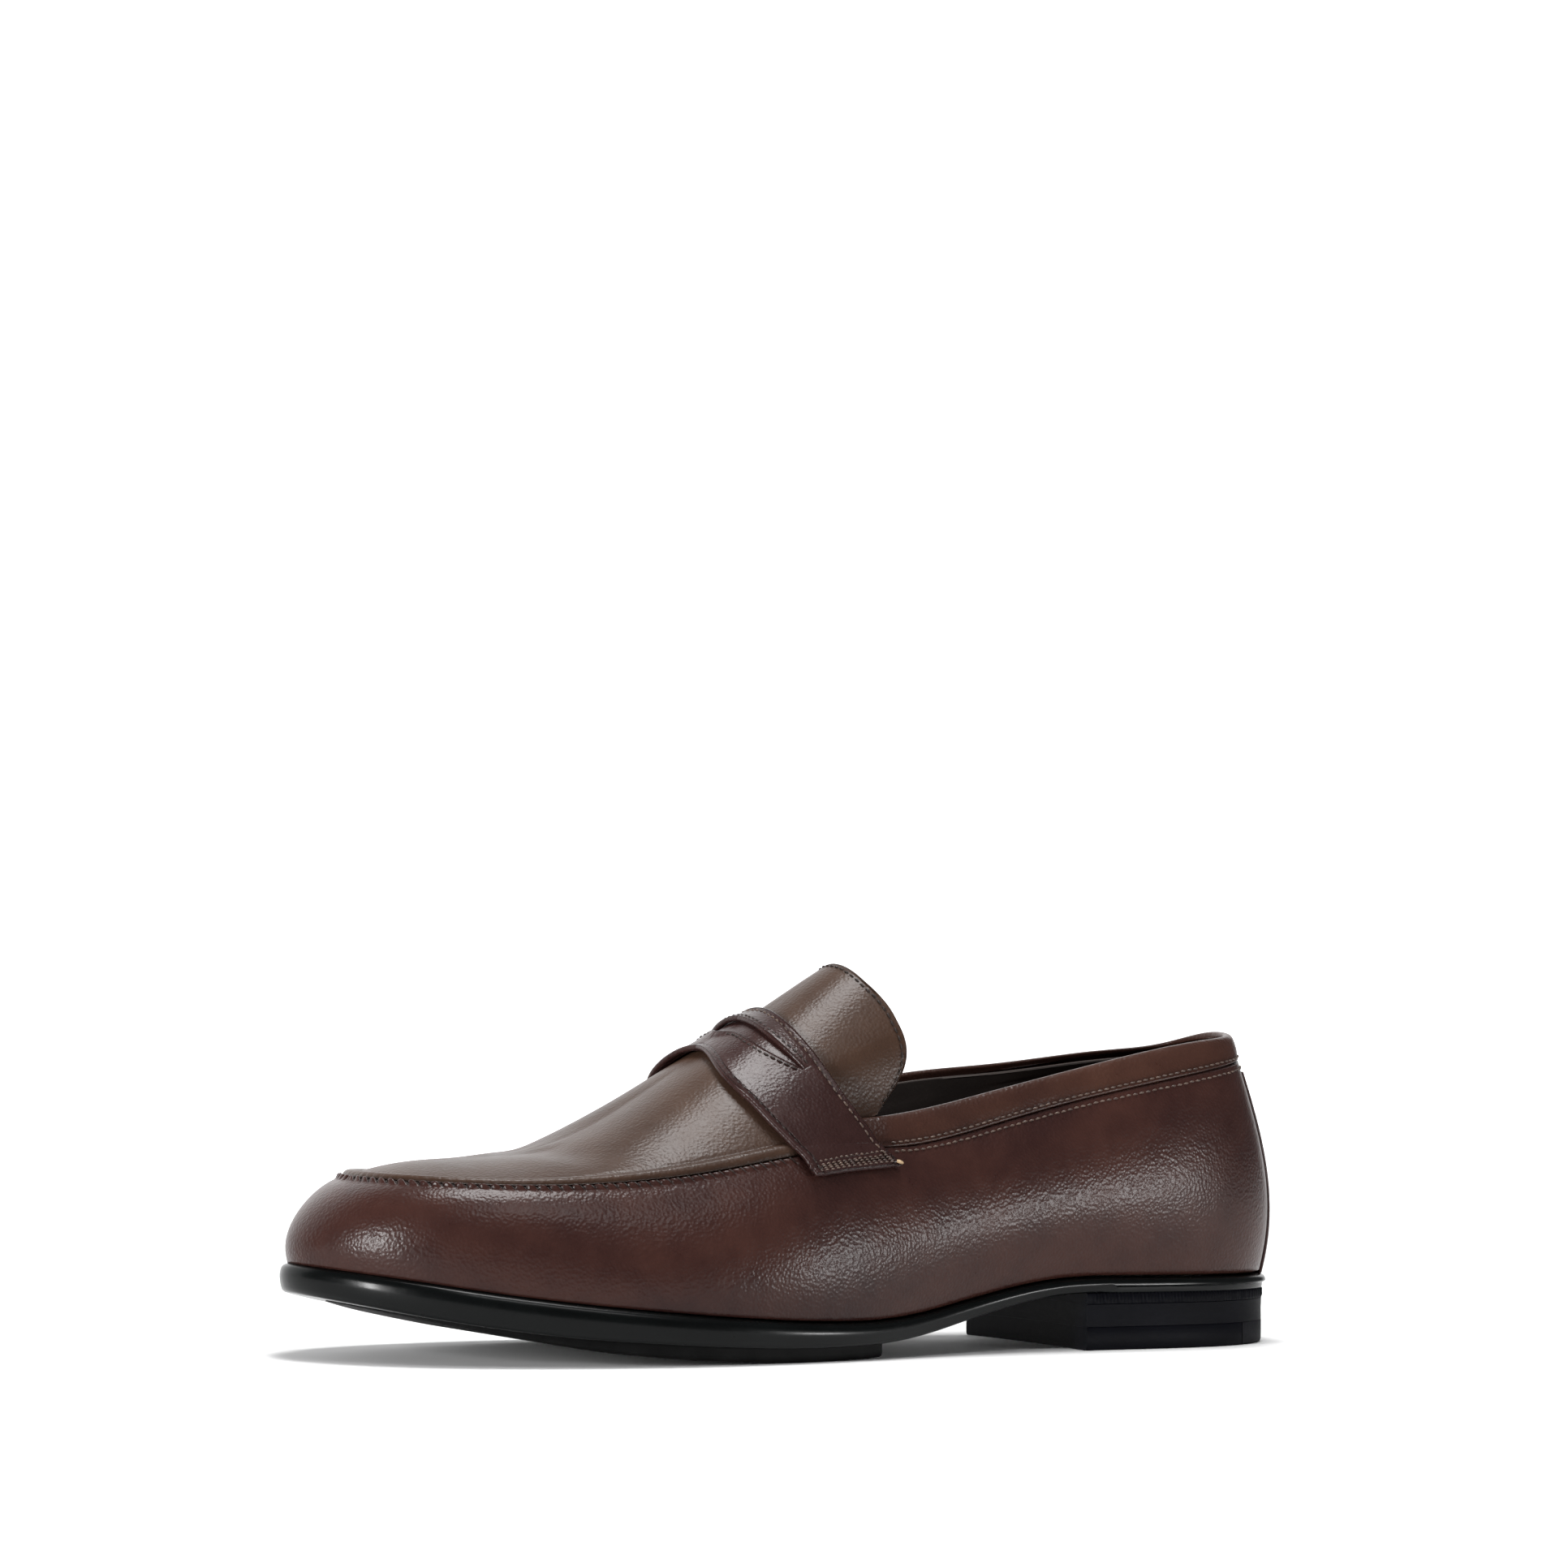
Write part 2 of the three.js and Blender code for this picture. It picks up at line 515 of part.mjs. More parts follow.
// column where the outline passes a given distance from the toe
function columnAt(x, from, to) {
  let [lo, hi] = [from, to];
  for (let k = 0; k < 40; k += 1) {
    const m = (lo + hi) / 2;
    if ((outline(m)[0] > x) === (outline(from)[0] > x)) lo = m;
    else hi = m;
  }
  return (lo + hi) / 2;
}
const BREAST = LENGTH - HEEL_LENGTH;
const lateralBreast = columnAt(BREAST, 0.5, 6);
const medialBreast = columnAt(BREAST, COLS - 0.5, COLS - 6) - COLS;
const HEEL_COLS = steps(medialBreast, lateralBreast, 24);
const PAD_START = LENGTH * 0.68;
const lateralPad = columnAt(PAD_START, 0.5, 6);
const medialPad = columnAt(PAD_START, COLS - 0.5, COLS - 6) - COLS;
const padCols = steps(medialPad, lateralPad, 20);
const makePad = () => arcLoft(padCols, [[WELT + 6.5, (x) => soleTop(x) + SOCK_LOW],
  [WELT + 6.5, (x) => soleTop(x) + SOCK_LOW + PAD_THICK]]);
const midsoleLow = (x) => soleTop(x) - soleEdge(x);
const makeLift = () => arcLoft(HEEL_COLS, [
  [1.7, () => LIFT1_BOTTOM], [1.5, (x) => midsoleLow(x) - GAP],
]);
const makeBlock = () => arcLoft(HEEL_COLS, [
  [1.5, () => BLOCK_BOTTOM], [1.9, () => (BLOCK_BOTTOM + BLOCK_TOP) / 2], [1.7, () => BLOCK_TOP],
]);
const makeTopLift = () => arcLoft(HEEL_COLS, [[1.4, () => 0], [1.2, () => 0.6], [1.4, () => TOPLIFT_TOP]]);

const treadEnd = LENGTH * 0.51;
const TREAD_COLS = steps(columnAt(treadEnd, 4, 9), columnAt(treadEnd, 18, 13), 30);
const treadTop = (x) => midsoleLow(x) - GAP;
// the tread thins toward the toe
const treadThick = (x) =>
  TREAD_THICK * (TREAD_TOE_SHARE + (1 - TREAD_TOE_SHARE) * smooth(x / (LENGTH * TREAD_TAPER)));
const makeTread = () => arcLoft(TREAD_COLS, [
  [TREAD_INSET + 0.8, (x) => treadTop(x) - treadThick(x)],
  [TREAD_INSET, (x) => treadTop(x) - treadThick(x) * 0.7], [TREAD_INSET, treadTop],
]);
const CORK_COLS = steps(columnAt(LENGTH * 0.55, 4, 9), columnAt(LENGTH * 0.55, 18, 13), 26);
const CORK_INSET = WELT + MARGIN + 1.2;
const makeCork = () => arcLoft(CORK_COLS, [[CORK_INSET, (x) => soleTop(x) + GAP],
  [CORK_INSET, (x) => soleTop(x) + GAP + UPPER_THICK]]);

// spring-steel shank, a strip following the arch of the waist
function makeShank() {
  const stations = steps(LENGTH * 0.575, LENGTH * 0.86, 12);
  const rows = stations.map((x) => [-7, 0, 7].map((y) => [x, y - 1, soleTop(x) + GAP + 0.15]));
  return new Skin().patch(rows, true).solid(1.2, 0);
}

// ---- nails through the heel stack ----
const NAIL_TOP = 17.8;
// distance ahead of the heel's back as a share of its length, and side
const NAILS = [[0.78, -14], [0.78, 12], [0.44, -15], [0.44, 13], [0.18, 0]]
  .map(([share, y]) => [LENGTH - HEEL_LENGTH * share, y * BALL_WIDTH / 101]);
function rod(x, y, z0, z1, r) {
  const geometry = new THREE.CylinderGeometry(r, r, z1 - z0, 10, 1);
  geometry.rotateX(Math.PI / 2);
  geometry.translate(x, y, (z0 + z1) / 2);
  return weld(geometry);
}
function weld(geometry) {
  const skin = new Skin();
  const p = geometry.attributes.position;
  const index = geometry.index ? [...geometry.index.array] : [...Array(p.count).keys()];
  for (let k = 0; k < index.length; k += 3) {
    const ids = [0, 1, 2].map((d) => {
      const i = index[k + d];
      return skin.vertex([p.getX(i), p.getY(i), p.getZ(i)]);
    });
    skin.face(...ids);
  }
  return { points: skin.points, tris: skin.faces };
}
function carve(body, low) {
  let m = toManifold(body);
  for (const [x, y] of NAILS) {
    m = m.subtract(toManifold(rod(x, y, low - GAP, NAIL_TOP + GAP, NAIL_R + GAP)));
  }
  return fromManifold(m);
}
const NAIL_LOW = BLOCK_BOTTOM + 1.6;

// rubber wear corner let into the back lateral corner of the top lift
function cornerBox(grow) {
  const geometry = new THREE.BoxGeometry(60, 60, 40);
  geometry.translate(LENGTH * 0.93 + 30 - grow, -BALL_WIDTH * 0.06 - 30 + grow, 0);
  return toManifold(weld(geometry));
}

// ---- threads ----
function thread(points, r = THREAD_R, count = 46) {
  const curve = new THREE.CatmullRomCurve3(points.map((p) => new THREE.Vector3(...p)));
  const shape = new THREE.Shape();
  for (let k = 0; k < 4; k += 1) {
    const a = k * Math.PI / 2;
    if (k === 0) shape.moveTo(r * Math.cos(a), r * Math.sin(a));
    else shape.lineTo(r * Math.cos(a), r * Math.sin(a));
  }
  shape.closePath();
  const path = { steps: count, extrudePath: curve, bevelEnabled: false };
  const geometry = new THREE.ExtrudeGeometry(shape, path);
  return weld(geometry);
}
const over = GAP + THREAD_R;
function collarThread(shift, height) {
  return steps(-5.1, 5.1, 40).map((u) => {
    const n = outward(u);
    const s = seam(u);
    const c = topline(u);
    if (shift > 0) return add(mix(s, c, height), mul(n, 1 + over));
    return lifted(u, height, over);
  });
}
function strapThreadPoint(s, t) {
  const a = sub(strapPoint(s + 0.01, t), strapPoint(s - 0.01, t));
  const b = sub(strapPoint(s, t + 0.02), strapPoint(s, t - 0.02));
  return add(strapPoint(s, t), mul(unit(cross(b, a)), STRAP_LIFT + STRAP_THICK + over));
}
const strapThread = (t, reach) => steps(-reach, reach, 40).map((s) => strapThreadPoint(s, t));

const LEATHER = '#43271f';
const DARK = '#33201c';
const LINING = '#2a1d19';
const BLACK = '#141313';
const THREAD = '#2b1a15';
piece('wall', makeWall(), LEATHER, 0.38);
piece('apron', makeApron(), LEATHER, 0.38);
piece('collar_band', makeCollar(), LEATHER, 0.36);
piece('backstay', makeBackstay(), DARK, 0.4);
piece('saddle_strap', makeStrap(), DARK, 0.34);
piece('tongue', tongueSkin(1, 0, 18).solid(0, -1.5), LEATHER, 0.38);
piece('tongue_lining', tongueSkin(0.97, 0.02, 16).solid(-1.5 - GAP, -2.7), LINING, 0.6);
piece('toe_puff', makeToePuff(), '#8b7a5e', 0.8);
piece('heel_counter', makeCounter(), '#8b7a5e', 0.8);
piece('vamp_lining', makeVampLining(), LINING, 0.6);
piece('toe_lining', makeToeLining(), LINING, 0.6);
piece('quarter_lining', makeQuarterLining(), LINING, 0.5);
piece('heel_grip', makeHeelGrip(), '#241a17', 0.7);
piece('insole_board', makeBoard(), '#9c7f58', 0.85);
piece('sock_liner', makeSock(), '#2b1d18', 0.55);
piece('heel_pad', makePad(), '#3c3c3a', 0.9);
piece('cork_filler', makeCork(), '#9a7247', 0.95);
piece('shank', makeShank(), '#9b9fa3', 0.35);
piece('midsole', carve(makeMidsole(), NAIL_LOW), BLACK, 0.3);
piece('tread_outsole', makeTread(), '#1a1918', 0.55);
piece('heel_lift', carve(makeLift(), NAIL_LOW), '#15161a', 0.4);
piece('heel_block', carve(makeBlock(), NAIL_LOW), '#15161a', 0.4);
const fullLift = toManifold(makeTopLift());
piece('top_lift', fromManifold(fullLift.subtract(cornerBox(GAP))), '#101114', 0.5);
piece('top_lift_corner', fromManifold(fullLift.intersect(cornerBox(0))), '#1d1f22', 0.7);
NAILS.forEach(([x, y], k) => {
  const body = rod(x, y, NAIL_LOW, NAIL_TOP, NAIL_R);
  piece(`heel_nail_${k + 1}`, body, '#8d8f92', 0.35);
});
const mocLine = steps(6.35, COLS - 6.35, 60).map((u) => lifted(u, 0.95, over));
piece('moc_thread', thread(mocLine, THREAD_R, 80), THREAD, 0.6);
piece('collar_thread_lower', thread(collarThread(-1, 0.955)), THREAD, 0.6);
piece('collar_thread_upper', thread(collarThread(1, 0.2)), THREAD, 0.6);
piece('strap_front_thread', thread(strapThread(0.07, 0.96)), THREAD, 0.6);
piece('strap_rear_thread', thread(strapThread(0.93, 0.96)), THREAD, 0.6);

const slotThread = (side) => steps(-0.97, 0.97, 24).map((q) => {
  const s = q * slotEnd;
  const edge = slotEdges(s);
  const t = side < 0 ? edge[0] - 0.05 : edge[1] + 0.05;
  return strapThreadPoint(s, t);
});
piece('slot_front_thread', thread(slotThread(-1), THREAD_R, 40), THREAD, 0.6);
piece('slot_rear_thread', thread(slotThread(1), THREAD_R, 40), THREAD, 0.6);
// bar-tacked ends of the strap: three rows sewn back and forth
function endThread(side) {
  const rows = [0.945, 0.905, 0.865];
  const points = rows.flatMap((s, k) => {
    const run = steps(0.17, 0.83, 5).map((t) => strapThreadPoint(side * s, t));
    return k % 2 ? run.reverse() : run;
  });
  return thread(points, THREAD_R, 60);
}
piece('strap_end_thread_lateral', endThread(-1), THREAD, 0.6);
piece('strap_end_thread_medial', endThread(1), THREAD, 0.6);
const tongueThread = steps(-0.86, 0.86, 36).map((s) => {
  const a = sub(tonguePoint(s + 0.02, 0.94), tonguePoint(s - 0.02, 0.94));
  const b = sub(tonguePoint(s, 0.96), tonguePoint(s, 0.9));
  return add(tonguePoint(s, 0.94), mul(unit(cross(b, a)), over));
});
piece('tongue_thread', thread(tongueThread, THREAD_R, 50), THREAD, 0.6);
for (const [name, u] of [['backstay_thread_lateral', 0.58], ['backstay_thread_medial', -0.58]]) {
  const points = steps(0.08, 0.88, 12).map((v) => lifted(u, v, 2 * GAP + 1.1 + THREAD_R));
  piece(name, thread(points, THREAD_R, 14), THREAD, 0.6);
}

// the part's origin is the bottom centre of the whole shoe
const whole = new THREE.Box3().setFromObject(group);
const centre = whole.getCenter(new THREE.Vector3());
for (const mesh of group.children) mesh.geometry.translate(-centre.x, -centre.y, -whole.min.z);

export default group;
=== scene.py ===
"""Looks of the penny loafer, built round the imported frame. Blender 4.5, metres, toe toward -X."""
import math

import bpy
import numpy as np
from numpy import (array, clip, concatenate, cos, cross, exp, full, interp, linspace, maximum, meshgrid,
                   minimum, sin, stack, where)
from mathutils import Matrix, Vector
from mathutils.kdtree import KDTree


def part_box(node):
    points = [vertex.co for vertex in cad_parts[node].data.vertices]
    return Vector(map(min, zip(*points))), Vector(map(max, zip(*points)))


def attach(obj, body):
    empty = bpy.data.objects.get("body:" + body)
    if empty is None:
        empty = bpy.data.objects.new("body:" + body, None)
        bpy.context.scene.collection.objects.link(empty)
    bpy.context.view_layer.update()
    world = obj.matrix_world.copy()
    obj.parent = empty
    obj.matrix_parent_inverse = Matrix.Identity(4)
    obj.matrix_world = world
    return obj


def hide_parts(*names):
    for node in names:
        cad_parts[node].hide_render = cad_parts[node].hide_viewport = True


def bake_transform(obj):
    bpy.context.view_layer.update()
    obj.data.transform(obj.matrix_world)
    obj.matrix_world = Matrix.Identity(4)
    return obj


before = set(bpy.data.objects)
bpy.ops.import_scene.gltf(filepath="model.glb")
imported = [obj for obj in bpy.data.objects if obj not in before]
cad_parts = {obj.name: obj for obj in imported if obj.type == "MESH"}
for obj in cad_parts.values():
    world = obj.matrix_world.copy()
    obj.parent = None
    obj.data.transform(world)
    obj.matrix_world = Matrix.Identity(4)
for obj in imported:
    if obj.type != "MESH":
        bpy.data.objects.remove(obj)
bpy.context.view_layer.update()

MM = 0.001
rng = np.random.default_rng(7)

# ---- sizes in millimetres, toe at x = 0, the same as the CAD part's ----
LENGTH = 298.0
BALL_WIDTH = 101.0
WELT = 2.2
UPPER_THICK = 1.6
STIFF_THICK = 1.2
LINING_THICK = 0.9
GAP = 0.3
STRAP_THICK = 1.6
STRAP_LIFT = 0.5
SLOT_HALF = 24.0
SLOT_WIDE = 4.5
SLOT_MID = 0.56
SLOT_SWEEP = 0.22
MARGIN = 9.0
BOARD_THICK = 2.0
SOCK_THICK = 1.2
PAD_THICK = 2.0
TREAD_THICK = 3.5
TREAD_INSET = 4.0
HEEL_LENGTH = 77.0
LIFT_BOTTOM = 12.6
TOPLIFT_TOP = 6.2
COLLAR_DEPTH = 2.3
COLS = 22
WELD_PER_MM = 500              # points closer than 1/500 mm are one point

OUTLINE = [[1, 0], [0.968, -0.42], [0.888, -0.63], [0.785, -0.665], [0.677, -0.68],
           [0.572, -0.775], [0.468, -0.925], [0.364, -1], [0.262, -0.965], [0.16, -0.82],
           [0.062, -0.52], [0, 0.1], [0.056, 0.64], [0.152, 0.86], [0.256, 0.935], [0.36, 0.905],
           [0.464, 0.79], [0.57, 0.66], [0.677, 0.59], [0.785, 0.6], [0.888, 0.59], [0.968, 0.4]]
SEAM = [[0.956, 0], [0.936, -0.4], [0.865, -0.56], [0.758, -0.575], [0.65, -0.6],
        [0.545, -0.66], [0.443, -0.725], [0.349, -0.725], [0.255, -0.68], [0.16, -0.575],
        [0.087, -0.31], [0.064, 0.09], [0.085, 0.47], [0.154, 0.63], [0.252, 0.68],
        [0.346, 0.68], [0.44, 0.665], [0.545, 0.625], [0.65, 0.58], [0.758, 0.57],
        [0.865, 0.55], [0.936, 0.385]]
SEAM_Z = [80.2, 79.5, 75.8, 69.7, 62.4, 56.2, 55.2, 50.8, 47.2, 45.8, 46.2, 46.4]
TOPLINE = [[0.953, 0, 87], [0.932, -0.36, 86.2], [0.862, -0.485, 83.7],
           [0.758, -0.52, 77.7], [0.65, -0.55, 70.6], [0.545, -0.59, 64.3], [0.443, -0.66, 60.7]]
MEDIAL_DROP = [0, 3, 3, 0.7, -3, -3, -2]
BULGE_LOW = [5, 6, 6, 6.5, 7.5, 6, 4.5, 3.5, 2.5, 1.5, 2.5, 4]
BULGE_HIGH = [6.5, 6.5, 7, 8, 9, 9.5, 9.5, 9.5, 9, 9, 10, 11]
DROP_HIGH = [20, 20, 20, 18, 16, 13, 11, 9, 7, 4, 2.5, 2]
RIDGE_X = [292, 266, 240, 214, 188, 162, 135, 110, 84, 62, 48, 42]
RIDGE_Z = [166.2, 154.2, 142.2, 130.2, 118.2, 106.2, 89.2, 74.3, 59.2, 52.5, 51.2, 50.8]
SOLE_TOP = [[0, 24.7], [20, 21.8], [40, 18.6], [60, 16.1], [80, 14.1], [100, 12.3], [120, 10.8],
            [140, 10], [152, 10.2], [165, 11.5], [180, 14.4], [195, 17.2], [208, 19.2],
            [220, 20], [250, 19.7], [298, 19.2]]
SOLE_EDGE = [[0, 7.6], [25, 9], [60, 8.9], [90, 8], [120, 7], [140, 6.2], [170, 5.6], [200, 4.4],
             [298, 3.8]]
STRAP_FRONT = [[6.2, 0.8], [6.28, 0.98], [6.52, 1.25], [6.74, 1.6], [6.69, 2]]
STRAP_REAR = [[5.22, 0.86], [5.42, 1.06], [5.67, 1.3], [5.87, 1.65], [5.92, 2]]
TONGUE_EDGE = [[5.18, 1.12], [4.83, 1.3], [4.87, 1.5], [5.05, 1.75], [5.11, 2]]
TONGUE_ROOT = [[5.46, 1.12], [5.66, 1.32], [5.79, 1.52], [5.87, 1.77], [5.89, 2]]


# ---- curves and the shared surface of the upper ----
def mirror_rows(rows):
    return list(rows) + list(rows)[-2:0:-1]


def unit(a):
    return a / maximum(np.linalg.norm(a, axis=-1, keepdims=True), 1e-12)


def smooth(x):
    t = clip(x, 0, 1)
    return t * t * (3 - 2 * t)


def controls(points):
    """Control points of the closed cubic B-spline that passes through the given points."""
    points = np.asarray(points, float)
    p = points.copy()
    for _ in range(60):
        p = (6 * points - np.roll(p, 1, axis=0) - np.roll(p, -1, axis=0)) / 4
    return p


def along(p, u):
    n = len(p)
    u = np.asarray(u, float) % n
    k = np.floor(u).astype(int)
    t = (u - k)[..., None]
    w = ((1 - t) ** 3, 3 * t ** 3 - 6 * t * t + 4, -3 * t ** 3 + 3 * t * t + 3 * t + 1, t ** 3)
    return sum(p[(k + d - 1) % n] * w[d] for d in range(4)) / 6


def reading(table, x):
    """Height at a distance from the toe, read off a table and rounded by averaging close by."""
    table = np.asarray(table, float)
    knots = concatenate([[table[0, 0] - 30], table[:, 0], [table[-1, 0] + 30]])
    first = (table[1] - table[0])[1] / (table[1] - table[0])[0]
    last = (table[-1] - table[-2])[1] / (table[-1] - table[-2])[0]
    values = concatenate([[table[0, 1] - 30 * first], table[:, 1], [table[-1, 1] + 30 * last]])
    shifts = linspace(-8, 8, 17)
    return sum(interp(x + d, knots, values) for d in shifts) / len(shifts)


def sole_top(x):
    return reading(SOLE_TOP, x)


def sole_edge(x):
    return reading(SOLE_EDGE, x)


def topline_points():
    rows = []
    for i in range(COLS):
        k = i if i <= 11 else COLS - i
        side = 1 if i <= 11 else -1
        row = TOPLINE[min(k, 6)]
        if k > 6:
            rows.append([SEAM[k][0] * LENGTH, side * SEAM[k][1] * 0.45 * BALL_WIDTH, SEAM_Z[k] + 3])
        else:
            drop = MEDIAL_DROP[k] if side < 0 else 0
            rows.append([row[0] * LENGTH, side * row[1] * BALL_WIDTH / 2, row[2] - drop])
    return rows


HALF = array([LENGTH, BALL_WIDTH / 2])
outline_p = controls(array(OUTLINE, float) * HALF)
seam_p = controls(np.column_stack([array(SEAM, float) * HALF, mirror_rows(SEAM_Z)]))
bulge_p = controls(mirror_rows(list(zip(BULGE_LOW, BULGE_HIGH, DROP_HIGH))))
ridge_p = controls(mirror_rows(list(zip(RIDGE_X, RIDGE_Z))))
topline_p = controls(topline_points())


def outline(u):
    return along(outline_p, u)


def seam(u):
    return along(seam_p, u)


def topline(u):
    return along(topline_p, u)


def outward(u):
    u = np.asarray(u, float)
    d = outline(u + 0.001) - outline(u - 0.001)
    return unit(stack([-d[..., 1], d[..., 0], np.zeros(d.shape[:-1])], -1))


def feather(u):
    p = outline(u) - outward(u)[..., :2] * WELT
    return concatenate([p, sole_top(p[..., :1])], -1)


UP = array([0, 0, 1.0])


def bezier(a, b, c, d, v):
    return (1 - v) ** 3 * a + 3 * (1 - v) ** 2 * v * b + 3 * (1 - v) * v * v * c + v ** 3 * d


def wall(u, v):
    u, v = np.broadcast_arrays(np.asarray(u, float), np.asarray(v, float))
    f, t, n, b = feather(u), seam(u), outward(u), along(bulge_p, u)
    p1 = f + UP * (t - f)[..., 2:] * 0.36 + n * b[..., :1]
    p2 = t - UP * b[..., 2:3] + n * b[..., 1:2]
    return bezier(f, p1, p2, t, v[..., None])


def ridge(u):
    p = along(ridge_p, u)
    side = 4.5 - 2.5 * clip(p[..., 0] / 160, 0, 1)
    return stack([p[..., 0], side, p[..., 1]], -1)


def apron(u, v):
    u, v = np.broadcast_arrays(np.asarray(u, float), np.asarray(v, float))
    t, r = seam(u), ridge(u)
    d = r - t
    return bezier(t, t + d * [0.22, 0.22, 0.42], r - d * [0.5, 0.5, 0.0], r, v[..., None])


def upper(u, w):
    """Outer face of the upper: w runs 0..1 up the side wall and 1..2 from the seam to the ridge."""
    u, w = np.broadcast_arrays(np.asarray(u, float), np.asarray(w, float))
    low = wall(u, clip(w, 0, 1))
    high = apron(u, clip(w - 1, 0, 1))
    return where((w <= 1)[..., None], low, high)


def face_normal(u, w):
    u, w = np.broadcast_arrays(np.asarray(u, float), np.asarray(w, float))
    e = 0.004
    du = upper(u + 0.002, w) - upper(u - 0.002, w)
    lo = where(w > 1, maximum(w - e, 1.0001), maximum(w - e, 0))
    hi = where(w > 1, minimum(w + e, 2), minimum(w + e, 1))
    return unit(cross(upper(u, hi) - upper(u, lo), du))


def lifted(u, w, h):
    h = np.asarray(h, float)
    return upper(u, w) + face_normal(u, w) * h[..., None]


# ---- the part's frame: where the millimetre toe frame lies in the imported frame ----
def frame_shift():
    ring = outline(np.arange(0, COLS, 0.5))
    low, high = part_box("midsole")
    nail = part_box("heel_nail_1")[0]
    return array([ring[:, 0].min() - low.x / MM, ring[:, 1].min() - low.y / MM,
                     TOPLIFT_TOP + GAP + 1.6 - nail.z / MM])


SHIFT = frame_shift()


def place(points):
    return (np.asarray(points, float) - SHIFT) * MM


# ---- mesh helpers ----
def vertex_normals(points, faces):
    n = np.zeros_like(points)
    for tri in ((0, 1, 2), (0, 2, 3)):
        a, b, c = (points[faces[:, k]] for k in tri)
        m = cross(b - a, c - a)
        for k in range(4):
            np.add.at(n, faces[:, k], m)
    return unit(n)


def grid_faces(rows, cols, flip=False):
    r, c = meshgrid(np.arange(rows - 1), np.arange(cols - 1), indexing="ij")
    a = r * cols + c
    f = stack([a, a + 1, a + cols + 1, a + cols], -1).reshape(-1, 4)
    return f[:, ::-1] if flip else f


def joined(parts):
    """Several (points, faces) pairs as one mesh."""
    starts = np.cumsum([0] + [len(points) for points, _ in parts])
    return (concatenate([points for points, _ in parts]),
            concatenate([faces + start for (_, faces), start in zip(parts, starts)]))


def weld_key(points):
    return np.round(points * WELD_PER_MM).astype(np.int64)


def grids(patches):
    """Patches of (points[rows, cols, 3], flip) stitched into one quad mesh, shared points welded."""
    points, faces = joined([(patch.reshape(-1, 3), grid_faces(*patch.shape[:2], flip))
                            for patch, flip in patches])
    _, first, index = np.unique(weld_key(points), axis=0, return_index=True, return_inverse=True)
    faces = index.reshape(-1)[faces]
    return points[first], faces[[len(set(f)) >= 3 for f in faces.tolist()]]


def border_edges(faces):
    a, b = faces.reshape(-1), np.roll(faces, -1, axis=1).reshape(-1)
    a, b = a[a != b], b[a != b]
    big = faces.max() + 1
    code, back = a * big + b, b * big + a
    open_ones = ~np.isin(back, code)
    return list(zip(a[open_ones].tolist(), b[open_ones].tolist()))


def thicken(points, faces, outer, inner, rim=5):
    """Closed sheet between two offsets along the normals, with rounded edges."""
    n = vertex_normals(points, faces)
    half, mid = (outer - inner) / 2, (outer + inner) / 2
    rims = border_edges(faces)
    after = {a: b for a, b in rims}
    before = {b: a for a, b in rims}
    border = sorted(after)
    ids = array(border)
    tangent = unit(points[[after[a] for a in border]] - points[[before[a] for a in border]])
    side = unit(cross(tangent, n[ids]))
    base = points.copy()
    base[ids] -= side * half * 0.8
    total = len(points)
    layers = [base + n * outer, base + n * inner]
    place_of = {a: k for k, a in enumerate(border)}
    rings = []
    start = 2 * total
    for j in range(1, rim):
        angle = math.pi * j / rim
        layers.append(base[ids] + n[ids] * (mid + half * math.cos(angle)) + side * half * math.sin(angle))
        rings.append(start)
        start += len(border)
    out = [faces, faces[:, ::-1] + total]
    quads = []
    for a, b in rims:
        chain_a = [a] + [r + place_of[a] for r in rings] + [a + total]
        chain_b = [b] + [r + place_of[b] for r in rings] + [b + total]
        for k in range(len(chain_a) - 1):
            quads.append([chain_b[k], chain_a[k], chain_a[k + 1], chain_b[k + 1]])
    out.append(array(quads))
    return concatenate(layers), concatenate(out)


def make_object(name, points, faces, material, painted_shade=None, smooth_angle=None):
    mesh = bpy.data.meshes.new(name)
    loops = [[x for k, x in enumerate(f) if x != f[k - 1]] for f in faces.tolist()]
    mesh.from_pydata(place(points).tolist(), [], loops)
    mesh.validate()
    mesh.update()
    mesh.polygons.foreach_set("use_smooth", [True] * len(mesh.polygons))
    # the per-point painted shade that darkens the leather's colour
    if painted_shade is not None:
        layer = mesh.attributes.new("painted_shade", "FLOAT", "POINT")
        layer.data.foreach_set("value", np.asarray(painted_shade, np.float32))
    obj = bpy.data.objects.new(name, mesh)
    bpy.context.scene.collection.objects.link(obj)
    obj.data.materials.append(material)
    if smooth_angle:
        mesh.set_sharp_from_angle(angle=math.radians(smooth_angle))
    return obj


def settle(obj, body, slot, *nodes):
    """The piece rides on a body and stands for the named CAD nodes, which are hidden; the slot argument is
    not used.
    """
    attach(obj, body)
    if nodes:
        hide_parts(*nodes)
    return obj


def sheet(name, patches, outer, inner, rim, material, slot, *nodes):
    """Closed sheet over the patches, riding on the shoe."""
    body, faces = thicken(*grids(patches), outer, inner, rim)
    settle(make_object(name, body, faces, material), "shoe", slot, *nodes)


def solid(name, mesh, material, slot, node, angle=45):
    settle(make_object(name, *mesh, material, smooth_angle=angle), "shoe", slot, node)


def padded(values, body):
    """The values for a sheet's outer points, and 0 for its others."""
    return concatenate([values, np.zeros(len(body) - len(values))])


def through(keys, count):
    """Rows of a Catmull-Rom curve through the key rows."""
    fine = linspace(0, keys.shape[1] - 1, count)
    k = minimum(fine.astype(int), keys.shape[1] - 2)
    f = (fine - k)[None, :, None]
    a, b = keys[:, maximum(k - 1, 0)], keys[:, k]
    c, d = keys[:, k + 1], keys[:, minimum(k + 2, keys.shape[1] - 1)]
    return 0.5 * ((2 * b) + (c - a) * f + (2 * a - 5 * b + 4 * c - d) * f ** 2
                  + (3 * b - a - 3 * c + d) * f ** 3)


